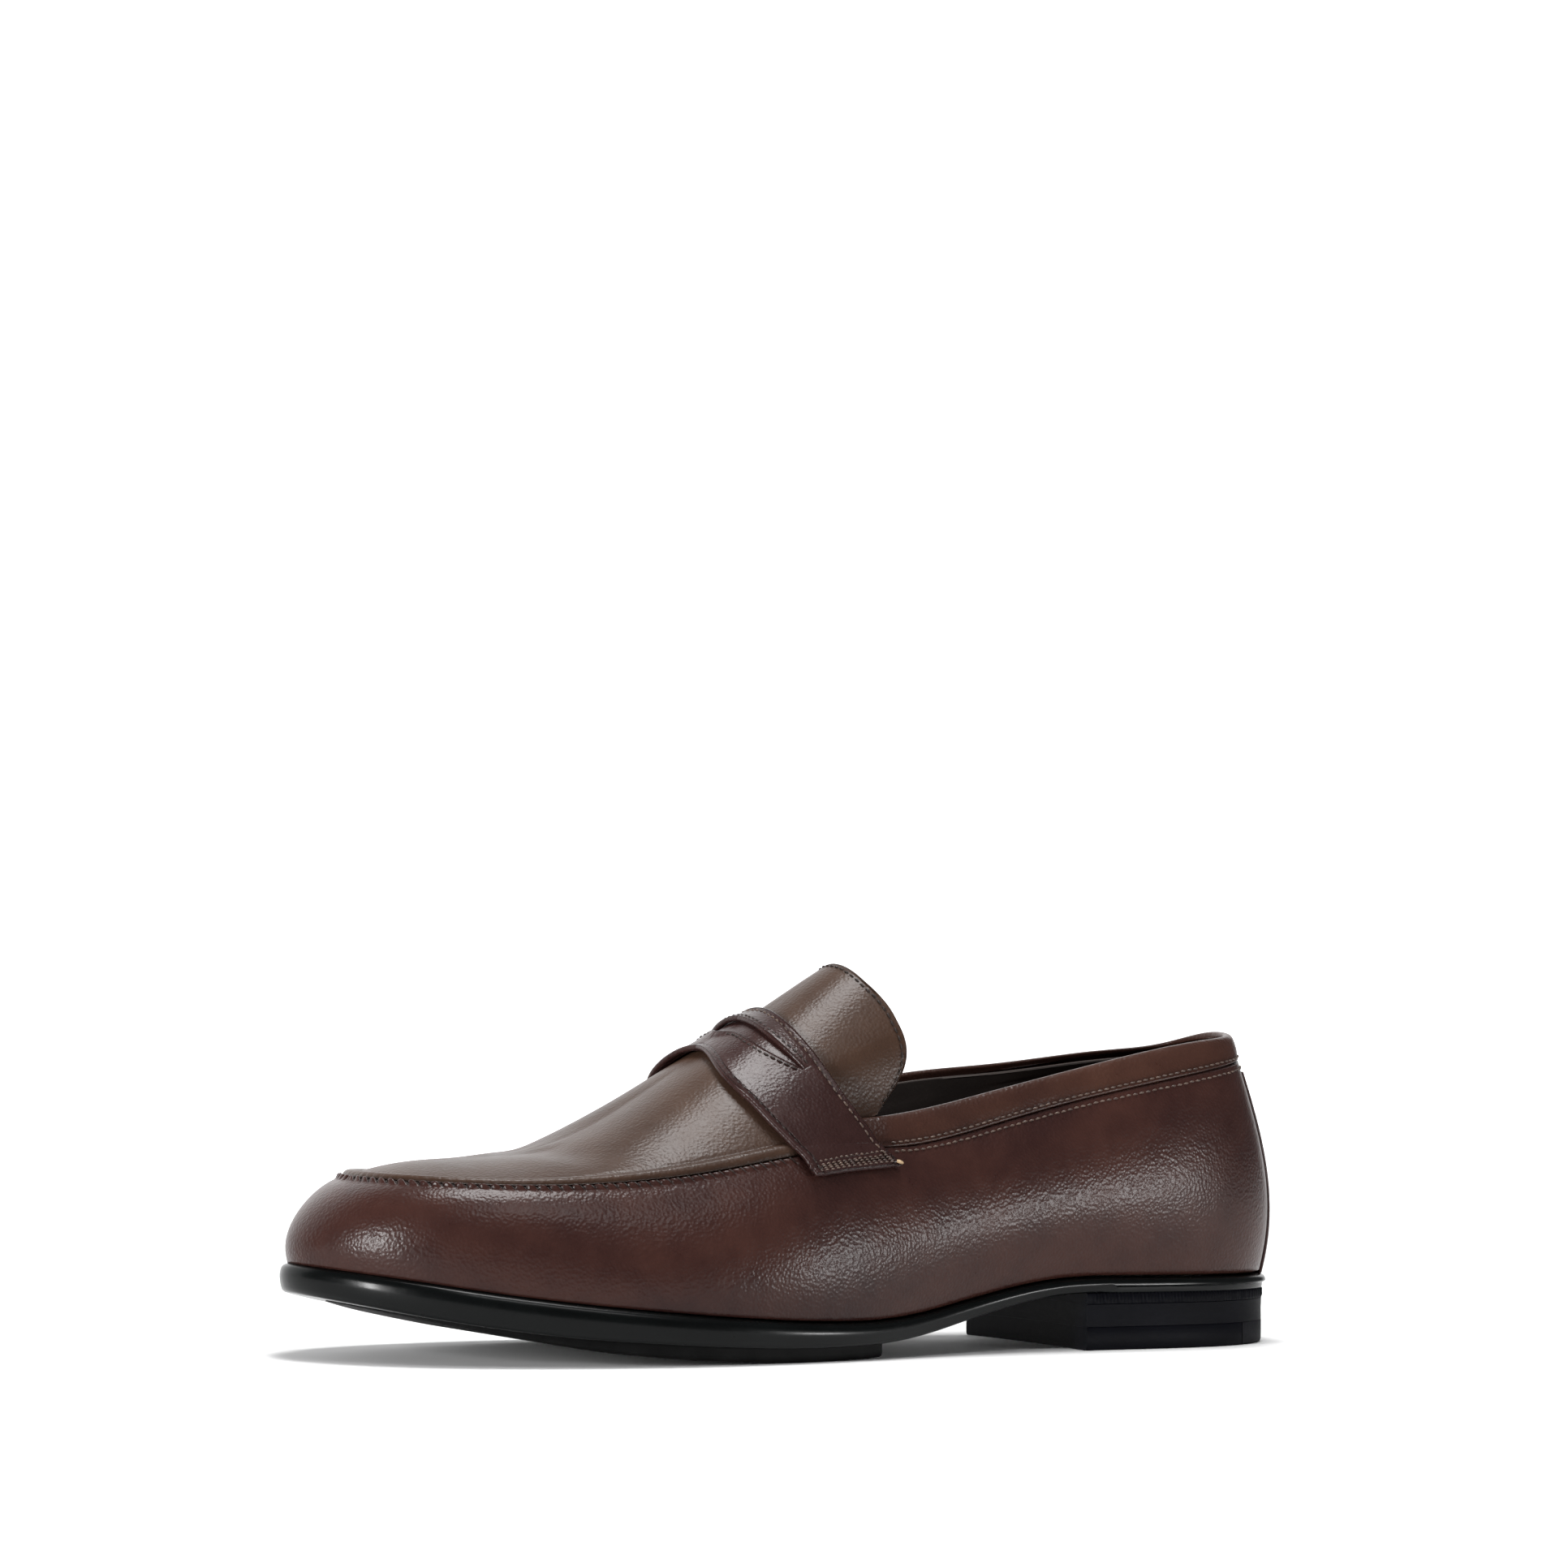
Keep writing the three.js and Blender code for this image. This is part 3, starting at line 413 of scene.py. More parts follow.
def bell(x, width):
    return exp(-(x / width) ** 2)


def lengths(path):
    return concatenate([[0], np.cumsum(np.linalg.norm(np.diff(path, axis=0), axis=1))])


# ---- materials ----
def shader(name):
    mat = bpy.data.materials.new(name)
    mat.use_nodes = True
    tree = mat.node_tree
    return mat, tree.nodes, tree.links, tree.nodes["Principled BSDF"]


def add_node(nodes, kind, **values):
    node = nodes.new(kind)
    for key, value in values.items():
        if key in node.inputs:
            node.inputs[key].default_value = value
        else:
            setattr(node, key, value)
    return node


def ramp(nodes, stops):
    node = nodes.new("ShaderNodeValToRGB")
    while len(node.color_ramp.elements) < len(stops):
        node.color_ramp.elements.new(0.5)
    for element, (at, colour) in zip(node.color_ramp.elements, stops):
        element.position = at
        element.color = (*colour, 1)
    return node


def maths(nodes, links, operation, *terms):
    node = add_node(nodes, "ShaderNodeMath", operation=operation)
    for socket, term in zip(node.inputs, terms):
        if isinstance(term, float):
            socket.default_value = term
        else:
            links.new(term, socket)
    return node.outputs[0]


def noise(nodes, links, where, scale, detail, rough=0.5):
    node = add_node(nodes, "ShaderNodeTexNoise", Scale=scale, Detail=detail, Roughness=rough)
    links.new(where, node.inputs["Vector"])
    return node.outputs["Fac"]


def relief(nodes, links, height, distance):
    bump = add_node(nodes, "ShaderNodeBump", Strength=1.0, Distance=distance)
    links.new(height, bump.inputs["Height"])
    return bump


def finish(nodes, links, bsdf, gloss_by, rough, coat, coat_rough, shine):
    """Gloss that varies a little over the surface, between the two roughness values."""
    gloss = add_node(nodes, "ShaderNodeMapRange")
    gloss.inputs["To Min"].default_value, gloss.inputs["To Max"].default_value = rough
    links.new(gloss_by, gloss.inputs["Value"])
    links.new(gloss.outputs["Result"], bsdf.inputs["Roughness"])
    bsdf.inputs["Coat Weight"].default_value = coat
    bsdf.inputs["Coat Roughness"].default_value = coat_rough
    bsdf.inputs["Specular IOR Level"].default_value = shine


def leather(name, dark, light, rough=0.29, grain=0.00010, coat=0.04, cells=1150.0, shine=0.15):
    """Finished calf: fine pebbled grain, drifting brown tones, and painted shade: the per-point attribute
    darkens the colour along creases, seam grooves and stitch holes.
    """
    mat, nodes, links, bsdf = shader(name)
    where = nodes.new("ShaderNodeTexCoord").outputs["Object"]
    drift = noise(nodes, links, where, 22.0, 3.0, 0.55)
    mottle = noise(nodes, links, where, 180.0, 4.0, 0.6)
    pores = add_node(nodes, "ShaderNodeTexVoronoi", Scale=cells, feature="SMOOTH_F1")
    pores.inputs["Smoothness"].default_value = 0.6
    links.new(where, pores.inputs["Vector"])
    fine = noise(nodes, links, where, 900.0, 3.0, 0.6)
    wave = noise(nodes, links, where, 70.0, 2.0)
    tones = ramp(nodes, [(0.34, dark), (0.66, light)])
    both = maths(nodes, links, "MULTIPLY_ADD", mottle, 0.28, drift)
    links.new(maths(nodes, links, "SUBTRACT", both, 0.14), tones.inputs["Fac"])
    # painted shade: the per-point attribute multiplies the base colour toward near black
    painted_shade_attr = add_node(nodes, "ShaderNodeAttribute", attribute_name="painted_shade")
    edge = nodes.new("ShaderNodeMix")
    edge.data_type = "RGBA"
    edge.blend_type = "MULTIPLY"
    edge.inputs["Factor"].default_value = 1.0
    painted_shade_tint = ramp(nodes, [(0.0, (1, 1, 1)), (1.0, (0.12, 0.10, 0.10))])
    links.new(painted_shade_attr.outputs["Fac"], painted_shade_tint.inputs["Fac"])
    links.new(tones.outputs["Color"], edge.inputs[6])
    links.new(painted_shade_tint.outputs["Color"], edge.inputs[7])
    links.new(edge.outputs[2], bsdf.inputs["Base Color"])
    finish(nodes, links, bsdf, mottle, (rough - 0.05, rough + 0.07), coat, 0.16, shine)
    pebbles = maths(nodes, links, "MULTIPLY_ADD", fine, 0.5, pores.outputs["Distance"])
    bump = relief(nodes, links, pebbles, grain)
    broad = relief(nodes, links, wave, 0.00005)
    links.new(bump.outputs["Normal"], broad.inputs["Normal"])
    links.new(broad.outputs["Normal"], bsdf.inputs["Normal"])
    links.new(broad.outputs["Normal"], bsdf.inputs["Coat Normal"])
    return mat


def plain(name, dark, light, rough, scale=300.0, bump_by=0.00004, coat=0.0, stretch=(1, 1, 1), shine=0.3):
    """A worked surface with its own speckle, drift and relief: rubber, thread, edge dressing."""
    mat, nodes, links, bsdf = shader(name)
    mapping = nodes.new("ShaderNodeMapping")
    mapping.inputs["Scale"].default_value = stretch
    links.new(nodes.new("ShaderNodeTexCoord").outputs["Object"], mapping.inputs["Vector"])
    where = mapping.outputs["Vector"]
    tones = ramp(nodes, [(0.35, dark), (0.65, light)])
    links.new(noise(nodes, links, where, scale * 0.12, 3.0), tones.inputs["Fac"])
    links.new(tones.outputs["Color"], bsdf.inputs["Base Color"])
    fine = noise(nodes, links, where, scale, 5.0, 0.65)
    finish(nodes, links, bsdf, fine, (max(rough - 0.06, 0.03), rough + 0.08), coat, 0.12, shine)
    links.new(relief(nodes, links, fine, bump_by).outputs["Normal"], bsdf.inputs["Normal"])
    return mat


UPPER = leather("upper_leather", (0.022, 0.0085, 0.0073), (0.039, 0.0152, 0.0115))
APRON = leather("apron_leather", (0.034, 0.0180, 0.0120), (0.050, 0.0270, 0.0175),
                rough=0.34, grain=0.00008, coat=0.02)
COLLAR = leather("collar_leather", (0.030, 0.0125, 0.0092), (0.047, 0.0200, 0.0135))
STRAP = leather("strap_leather", (0.021, 0.0088, 0.0080), (0.032, 0.0140, 0.0125),
                rough=0.28, grain=0.00008)
LINING = leather("lining_leather", (0.052, 0.0430, 0.0395), (0.078, 0.0640, 0.0585), rough=0.24,
                 grain=0.00004, coat=0.3)
SOCK = leather("sock_leather", (0.020, 0.012, 0.009), (0.034, 0.021, 0.016), rough=0.5,
               grain=0.00008, coat=0.0)
SUEDE = plain("grip_suede", (0.016, 0.011, 0.009), (0.030, 0.021, 0.017), 0.85, 1600.0, 0.00015)
EDGE = plain("edge_black", (0.0012, 0.0016, 0.0016), (0.0022, 0.0028, 0.0028),
             0.24, 500.0, 0.00002, 0.05, shine=0.12)
HEEL = plain("heel_stack", (0.0008, 0.0009, 0.0020), (0.0016, 0.0018, 0.0034),
             0.5, 420.0, 0.00005, stretch=(1, 1, 3), shine=0.05)
RUBBER = plain("tread_rubber", (0.003, 0.003, 0.003), (0.006, 0.006, 0.006),
               0.55, 900.0, 0.00006, shine=0.06)
CORNER = plain("corner_rubber", (0.006, 0.006, 0.0075), (0.010, 0.010, 0.012),
               0.6, 900.0, 0.00006, shine=0.06)
# Two copies of one thread: the dark copy sits where the stitch holes read dark, so its darkness is partly
# painted shade; the pale copy's lighter tone is partly painted highlight for rows that show glints, beside
# its own gloss.
THREAD = plain("thread_dark", (0.008, 0.004, 0.003), (0.018, 0.010, 0.007), 0.5, 3000.0, 0.00004)
GLINT_THREAD = plain("thread_pale_painted_glint", (0.034, 0.019, 0.014), (0.085, 0.052, 0.037),
             0.38, 3000.0, 0.00004, shine=0.4)
GOLD = plain("thread_end", (0.30, 0.20, 0.11), (0.42, 0.30, 0.18), 0.5, 3000.0, 0.00004)


# ---- stitches ----
STITCH_WANDER = 0.06


def tube(path, radius, sides=7):
    """Closed tube along points; radius may change along it."""
    path = np.asarray(path, float)
    radius = np.broadcast_to(radius, (len(path),))
    t = unit(np.gradient(path, axis=0))
    ref = where(np.abs(t[:, 2:]) > 0.9, [[1.0, 0, 0]], [[0, 0, 1.0]])
    a = unit(cross(t, ref))
    b = cross(t, a)
    angles = np.arange(sides) * 2 * math.pi / sides
    ring = (path[:, None] + radius[:, None, None]
            * (a[:, None] * cos(angles)[:, None] + b[:, None] * sin(angles)[:, None]))
    points = ring.reshape(-1, 3)
    faces = []
    for r in range(len(path) - 1):
        for k in range(sides):
            i, j = r * sides + k, r * sides + (k + 1) % sides
            faces.append([i, i + sides, j + sides, j])
    end = len(path)
    points = concatenate([points, path[:1], path[-1:]])
    for k in range(sides):
        j = (k + 1) % sides
        faces.append([k, j, sides * end, sides * end])
        faces.append([(end - 1) * sides + j, (end - 1) * sides + k, sides * end + 1, sides * end + 1])
    return points, array(faces)


def stitch_row(path, normals, pitch, radius, fill):
    """Separate stitches along a path: each one rises out of the leather and dips back in."""
    s = lengths(path)
    count = max(int(s[-1] / pitch), 1)
    pitch = s[-1] / count
    parts = []
    for k in range(count):
        middle = (k + 0.5) * pitch
        at = middle + linspace(-0.5, 0.5, 7) * pitch * fill
        p = stack([interp(at, s, path[:, c]) for c in range(3)], -1)
        n = stack([interp(at, s, normals[:, c]) for c in range(3)], -1)
        arch = cos(linspace(-1, 1, 7) * math.pi / 2) ** 0.6
        side = cross(unit(np.gradient(p, axis=0)), n)
        p = p + n * (radius * (arch * 1.15 - 0.5))[:, None] + side * rng.normal(0, STITCH_WANDER)
        parts.append(tube(p, radius * (0.55 + 0.45 * arch), 6))
    return joined(parts)


# ---- the moccasin seam's rhythm ----
MOC_FROM, MOC_TO = 6.1, COLS - 6.1
MOC_PITCH = 3.0
MOC_LEAN, MOC_DEEP = 0.55, 2.2    # backward lean of the notches, about a line this far below the seam
_dense = linspace(MOC_FROM, MOC_TO, 1600)
_moc_s = lengths(seam(_dense))


def moc_phase(u, lean=0.0):
    """0..1 within each stitch along the seam; lean slides the pattern along it, in millimetres."""
    s = interp(u, _dense, _moc_s)
    side = where(np.asarray(u) < 11, 1, -1)
    return ((s + lean * side) / MOC_PITCH) % 1.0


def moc_live(u):
    """1 round the toe, fading out where the strap covers the seam."""
    return smooth((u - MOC_FROM) / 0.2) * smooth((MOC_TO - u) / 0.2)


def moc_coarse(u):
    """Full puckers at the toe, half as strong by the strap."""
    return 0.45 + 0.55 * smooth((minimum(u, COLS - u) - 6.6) / 2.2)


def side_columns(lo, hi, per):
    return linspace(lo, hi, int(round((hi - lo) * per)) + 1)


# ---- upper pieces ----
BACK_GAP = 0.012
WALL_STEEP = 38.0              # millimetres of wall for one unit of height near the seam
FOOT_DIP, FOOT_FADE = 0.9, 1.6    # how far the wall's foot sits down on the sole's rounded rim


def make_wall():
    u = concatenate([side_columns(BACK_GAP, MOC_FROM, 36), side_columns(MOC_FROM, MOC_TO, 92)[1:],
                        side_columns(MOC_TO, COLS - BACK_GAP, 36)[1:]])
    v = concatenate([linspace(0, 0.82, 40), linspace(0.82, 0.9, 9)[1:],
                        linspace(0.9, 0.972, 24)[1:]])
    uu, vv = meshgrid(u, v, indexing="ij")
    live = moc_live(uu)
    vw = vv + (1 - live) * 0.022 * smooth((vv - 0.7) / 0.27)
    p = wall(uu, vw)
    n = face_normal(uu, vw)
    d = (1 - vv) * WALL_STEEP
    hump = np.abs(sin(math.pi * moc_phase(uu, MOC_LEAN * (d - MOC_DEEP)))) ** 0.5
    lump = (1.7 * hump - 0.6) * bell(d - 2.3, 1.0) * moc_coarse(uu)
    valley = -0.55 * bell(d - 1.1, 0.45)
    flex = (bell(p[..., 0] - 118, 26) * sin(p[..., 0] / 5.2 + p[..., 2] / 7.0)
            * sin(vv * math.pi) * 0.08)
    swell = 0.2 * sin(uu * 1.9 + 3 * vv) * sin(vv * math.pi)
    p = p + n * ((lump + valley) * live + flex + swell)[..., None]
    above = p[..., 2] - sole_top(p[..., 0])
    p[..., 2] -= FOOT_DIP * exp(-maximum(above, 0) / FOOT_FADE)
    f = feather(u)
    o = outward(u)
    turned = stack([concatenate([(f - o * d)[:, :2], sole_top((f - o * d)[:, :1]) + GAP], -1)
                       for d in (MARGIN, 5.0, 2.4, 1.0)], 1)
    p = concatenate([turned, p[:, 1:]], 1)
    # Painted shade: darker in the notches between the puckers, along the crease under the rolled edge, at the
    # wall's foot where it meets the sole, and fully dark on the margin turned under the shoe.
    notch = 2.0 * (1 - hump) * bell(d - 2.1, 1.3) * moc_coarse(uu)
    dark = maximum(notch, bell(d - 0.9, 0.5)) * live
    dark = maximum(dark, exp(-vv / 0.015) * 0.8)
    painted_shade = concatenate([np.ones((len(u), 4)), dark[:, 1:]], 1)
    body, faces = thicken(p.reshape(-1, 3), grid_faces(*p.shape[:2]), 0, -UPPER_THICK)
    obj = make_object("wall_leather", body, faces, UPPER, padded(painted_shade.reshape(-1), body))
    settle(obj, "shoe", "upper_leather", "wall")


APRON_BACK = 5.75
ROLL_WIDE = 4.4                # rolled edge of the apron, across and above the leather
ROLL_HIGH = 1.35
ROLL_HANG = 1.5                # how far the roll hangs below the seam line


def make_apron():
    u = concatenate([side_columns(APRON_BACK, MOC_FROM, 36), side_columns(MOC_FROM, 11, 60)[1:]])
    below = array([-1.5, -1.35, -1.15, -0.9, -0.6, -0.3])
    above = array([0.0, 0.3, 0.6, 0.95, 1.3, 1.7, 2.1, 2.5, 2.9, 3.3, 3.8, 4.4, 5.2])
    patches = []
    for side in (1, -1):
        us = u if side > 0 else COLS - u
        steep = np.linalg.norm(apron(us, 0.02) - apron(us, 0.0), axis=1) / 0.02
        last = 1 + above[-1] / steep
        crown = last[:, None] + (2 - last[:, None]) * (linspace(0, 1, 48)[1:] ** 1.15)[None]
        w = concatenate([1 + below[None] / WALL_STEEP + 0 * last[:, None],
                            1 + above[None] / steep[:, None], crown], 1)
        uu = np.broadcast_to(us[:, None], w.shape)
        near = concatenate([below, above])[None] + 0 * last[:, None]
        sigma = concatenate([near + ROLL_HANG, (w[:, -47:] - 1) * steep[:, None] + ROLL_HANG], 1)
        p = on_upper(uu, w)
        live = moc_live(uu)
        n = face_normal(uu, minimum(w, 1.999))
        edge_n = unit(face_normal(us, 0.96) + face_normal(us, 1.08))
        blend = exp(-((sigma - ROLL_HANG) / 2.2) ** 4)[..., None]
        n = unit(n * (1 - blend) + edge_n[:, None] * blend)
        roll = ROLL_HIGH * sin(math.pi * clip(sigma / ROLL_WIDE, 0, 1)) ** 0.75
        gather = 1 - np.abs(sin(math.pi * moc_phase(uu))) ** 0.5
        pinch = -0.16 * gather * bell(sigma - 0.8, 0.9)
        groove = -0.18 * bell(sigma - ROLL_WIDE - 0.3, 0.5)
        crown_on = 1 - smooth((w - 1.85) / 0.15)
        x = p[..., 0]
        crease = -0.8 * bell(x - 66 - 10 * (2 - w), 7.0) * smooth((w - 1.15) / 0.5)
        ripple = (0.12 * sin(x / 4.6 + (2 - w) * 2) * bell(x - 82, 22)
                  * smooth((w - 1.2) / 0.4))
        rise = (roll + pinch * moc_coarse(uu) + groove) * live + (crease + ripple) * crown_on
        p = p + n * rise[..., None]
        p[:, -1] = ridge(u)
        patches.append((p, side < 0))
    body, faces = thicken(*grids(patches), 0, -UPPER_THICK)
    # Painted shade under the rolled edge, fading up from the line where the roll hangs over the seam.
    foot = wall(linspace(MOC_FROM, MOC_TO, 900), 1 - ROLL_HANG / WALL_STEEP)
    obj = make_object("apron_leather", body, faces, APRON, edge_shade(body, foot, 1.1, 0.75))
    settle(obj, "shoe", "upper_leather", "apron")


def edge_shade(points, line, reach, strength):
    """Painted shade that fades with distance from a line of points."""
    tree = KDTree(len(line))
    for k, p in enumerate(line):
        tree.insert(p, k)
    tree.balance()
    d = array([tree.find(p)[2] for p in points])
    return bell(d, reach) * strength


def make_moc_stitches():
    """Whip stitches lying in the notches below the rolled edge, leaning back."""
    depth = array([0.9, 1.3, 1.8, 2.3, 2.8, 3.2])
    height = array([-0.15, -0.05, -0.05, -0.05, -0.1, -0.35])
    radius = array([0.2, 0.27, 0.3, 0.3, 0.27, 0.18])
    parts = []
    for k in range(int(_moc_s[-1] / MOC_PITCH) + 1):
        s = k * MOC_PITCH
        u = float(interp(s, _moc_s, _dense))
        if min(u, COLS - u) < 6.3:
            continue
        side = 1 if u < 11 else -1
        us = interp(s - side * MOC_LEAN * (depth - MOC_DEEP), _moc_s, _dense) + rng.normal(0, 0.002)
        p = lifted(us, 1 - depth / WALL_STEEP, height)
        parts.append(tube(p, radius * (0.8 + 0.2 * moc_coarse(u)), 6))
    settle(make_object("moc_stitches", *joined(parts), THREAD), "shoe", "thread", "moc_thread")


def edge_point(edge, s):
    """(column, height) on an edge of the strap or tongue; s runs -1..1 over the ridge."""
    edge = np.asarray(edge, float)
    t = (1 - abs(s)) * (len(edge) - 1)
    k = min(int(t), len(edge) - 2)
    a, b = edge[k], edge[k + 1]
    before, later = edge[max(k - 1, 0)], edge[min(k + 2, len(edge) - 1)]
    f = t - k
    m0 = (b - before) * (1 if k == 0 else 0.5)
    m1 = array([0, b[1] - a[1]]) if k + 2 > len(edge) - 1 else (later - a) * 0.5
    return (a * (2 * f ** 3 - 3 * f * f + 1) + m0 * (f ** 3 - 2 * f * f + f)
            + b * (-2 * f ** 3 + 3 * f * f) + m1 * (f ** 3 - f * f))


def band_uw(front, rear, s, t):
    a = array([edge_point(front, x) for x in s])
    b = array([edge_point(rear, x) for x in s])
    uw = a[:, None] + (b - a)[:, None] * t[..., None]
    side = (np.asarray(s) > 0)[:, None]
    return where(side, COLS - uw[..., 0], uw[..., 0]), clip(uw[..., 1], 0, 2)


def on_upper(u, w):
    top = w >= 1.999
    return where(top[..., None], ridge(minimum(u, COLS - u)), upper(u, w))


def strap_xyz(s, t):
    s = np.atleast_1d(np.asarray(s, float))
    t = np.asarray(t, float)
    if t.ndim < 2:
        t = np.broadcast_to(t, (len(s), t.size))
    u, w = band_uw(STRAP_FRONT, STRAP_REAR, s, t)
    return on_upper(u, w)


def strap_point(s, t):
    return strap_xyz([s], [t])[0, 0]


strap_reach = (np.linalg.norm(strap_point(0, 0.5) - strap_point(-0.5, 0.5))
               + np.linalg.norm(strap_point(-0.5, 0.5) - strap_point(-1, 0.5)))
strap_depth = np.linalg.norm(strap_point(0, 0) - strap_point(0, 1))
slot_end = SLOT_HALF / strap_reach


def slot_edges(s):
    q = clip(1 - (s / slot_end) ** 2, 0, 1)
    mid = SLOT_MID + SLOT_SWEEP * (s / slot_end) ** 2
    opening = SLOT_WIDE / strap_depth * q ** 0.8
    lo = where(np.abs(s) >= slot_end, SLOT_MID + SLOT_SWEEP, mid - opening * 0.42)
    hi = where(np.abs(s) >= slot_end, SLOT_MID + SLOT_SWEEP, mid + opening * 0.58)
    notch = 0.10 * bell(s, 0.05)
    return lo - notch * (np.abs(s) < slot_end), hi


STRAP_LINES = (0.085, 0.93)
END_ROWS = (0.885, 0.917, 0.934, 0.951, 0.968)
FRONT_ROWS, REAR_ROWS = 40, 26


def make_strap():
    inner = linspace(-slot_end, slot_end, 181)
    outer = linspace(slot_end, 1, 120)[1:]
    s = concatenate([-outer[::-1], inner, outer])
    lo, hi = slot_edges(clip(s, -slot_end, slot_end))
    front_t = linspace(0, 1, FRONT_ROWS)[None] * lo[:, None]
    rear_t = hi[:, None] + linspace(0, 1, REAR_ROWS)[None] * (1 - hi)[:, None]
    front, rear = strap_xyz(s, front_t), strap_xyz(s, rear_t)
    points, faces = grids([(front, False), (rear, False)])
    n = vertex_normals(points, faces)
    reference = concatenate([front.reshape(-1, 3), rear.reshape(-1, 3)])
    ss = concatenate([np.repeat(s, FRONT_ROWS), np.repeat(s, REAR_ROWS)])
    tt = concatenate([front_t.reshape(-1), rear_t.reshape(-1)])
    key = {tuple(k): i for i, k in enumerate(weld_key(reference).tolist())}
    index = [key[tuple(k)] for k in weld_key(points).tolist()]
    ss, tt = ss[index], tt[index]
    rise = np.zeros(len(points))
    for line in STRAP_LINES:
        rise -= 0.28 * bell((tt - line) * strap_depth, 0.8)
    rise += 0.75 * bell(tt * strap_depth, 2.2)
    edge_lo, edge_hi = slot_edges(ss)
    within = clip(1 - (ss / slot_end) ** 2, 0, 1)
    rear_lip = bell((tt - edge_hi) * strap_depth, 3.0) * (tt >= edge_hi - 1e-4)
    rise += 1.2 * within ** 0.6 * rear_lip
    front_lip = bell((edge_lo - tt) * strap_depth, 1.6) * (tt <= edge_lo + 1e-4)
    rise += (0.3 * within + 0.7 * bell(ss, 0.06)) * front_lip
    rise += 0.10 * sin(ss * 23) * bell(tt - 0.5, 0.3)
    tail = np.zeros(len(points))
    for end_row in END_ROWS:
        tail = maximum(tail, bell(np.abs(ss) - end_row, 0.005))
    rise -= 0.22 * tail + 0.15 * smooth((np.abs(ss) - 0.86) / 0.05)
    points = points + n * rise[:, None]
    # Painted shade along the sewing lines and the strap-end stitch rows, where the stitch holes sink.
    painted_stitch_shade = tail * 0.8
    for line in STRAP_LINES:
        painted_stitch_shade = maximum(painted_stitch_shade, 0.8 * bell((tt - line) * strap_depth, 0.55))
    body, faces = thicken(points, faces, STRAP_LIFT + STRAP_THICK, STRAP_LIFT, 7)
    obj = make_object("strap_leather", body, faces, STRAP, padded(painted_stitch_shade, body))
    settle(obj, "shoe", "strap_leather", "saddle_strap")


def make_slot_backing():
    """Strip of strap leather seen through the slot."""
    s = linspace(-1.04, 1.04, 90) * slot_end
    lo, hi = slot_edges(clip(s, -slot_end, slot_end))
    t = (lo - 0.07)[:, None] + (hi - lo + 0.14)[:, None] * linspace(0, 1, 12)[None]
    sheet("slot_backing", [(strap_xyz(s, t), False)], 1.35, 0.2, 4, STRAP, "strap_leather")


def strap_line(s_values, t_values, lift):
    """A sewing line on top of the strap, and the outward direction along it."""
    p, n = [], []
    for s, t in zip(s_values, t_values):
        a = strap_point(s + 0.01, t) - strap_point(s - 0.01, t)
        b = strap_point(s, min(t + 0.02, 1)) - strap_point(s, max(t - 0.02, 0))
        m = unit(cross(b, a))
        p.append(strap_point(s, t) + m * lift)
        n.append(m)
    return array(p), array(n)


def row(name, path, normals, node, pitch, radius, material=THREAD, fill=0.74, body="shoe"):
    mesh = stitch_row(path, normals, pitch, radius, fill)
    settle(make_object(name, *mesh, material), body, "thread", node)


def make_strap_stitches():
    s = linspace(-0.97, 0.97, 160)
    for name, t, node in (("strap_front_stitches", STRAP_LINES[0], "strap_front_thread"),
                          ("strap_rear_stitches", STRAP_LINES[1], "strap_rear_thread")):
        lift = STRAP_LIFT + STRAP_THICK - (0.05 if t < 0.5 else 0.28)
        path, n = strap_line(s, full(len(s), t), lift)
        row(name, path, n, node, 2.3, 0.3, THREAD if t < 0.5 else GLINT_THREAD, 0.7)
    q = linspace(-0.99, 0.99, 110) * slot_end
    lo, hi = slot_edges(q)
    ends = clip(1 - (q / slot_end) ** 2, 0, 1) ** 0.6
    path, n = strap_line(q, hi + 0.062, STRAP_LIFT + STRAP_THICK)
    row("slot_rear_stitches", path + n * (0.85 * ends)[:, None], n, "slot_rear_thread", 2.1, 0.26)
    path, n = strap_line(q, lo - 0.062, STRAP_LIFT + STRAP_THICK + 0.1)
    row("slot_front_stitches", path, n, "slot_front_thread", 2.1, 0.26)
    for side, tag in ((-1, "lateral"), (1, "medial")):
        parts = []
        for s_row in END_ROWS:
            t = linspace(0.06, 0.95, 40)
            path, n = strap_line(full(40, side * s_row), t, STRAP_LIFT + STRAP_THICK - 0.3)
            parts.append(stitch_row(path, n, 1.75, 0.27, 0.66))
        obj = make_object(f"strap_end_stitches_{tag}", *joined(parts), GLINT_THREAD)
        settle(obj, "shoe", "thread", f"strap_end_thread_{tag}")
    path, n = strap_line([-0.975, -0.985, -0.995, -1.0], [0.955, 0.965, 0.975, 0.985], 2.3)
    knot = tube(path + n * array([[0.0], [0.25], [0.35], [0.2]]), [0.4, 0.5, 0.45, 0.25])
    settle(make_object("thread_end_knot", *knot, GOLD), "shoe", "thread")


# ---- tongue ----
def tongue_xyz(s, t):
    s = np.atleast_1d(np.asarray(s, float))
    t = np.broadcast_to(np.asarray(t, float), (len(s), np.size(t)))
    u, w = band_uw(TONGUE_ROOT, TONGUE_EDGE, s, t)
    p = on_upper(u, w)
    tuck = 1 - smooth((w - 1.1) / 0.35)
    p[..., 1] -= np.sign(p[..., 1]) * 5.5 * tuck
    return p


TONGUE_ROW = 0.93              # share of the tongue's depth where its stitches run


def bend_over_strap(obj, node):
    """Hides the CAD node that the piece stands for and bakes the piece's placement into its mesh."""
    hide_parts(node)
    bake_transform(obj)


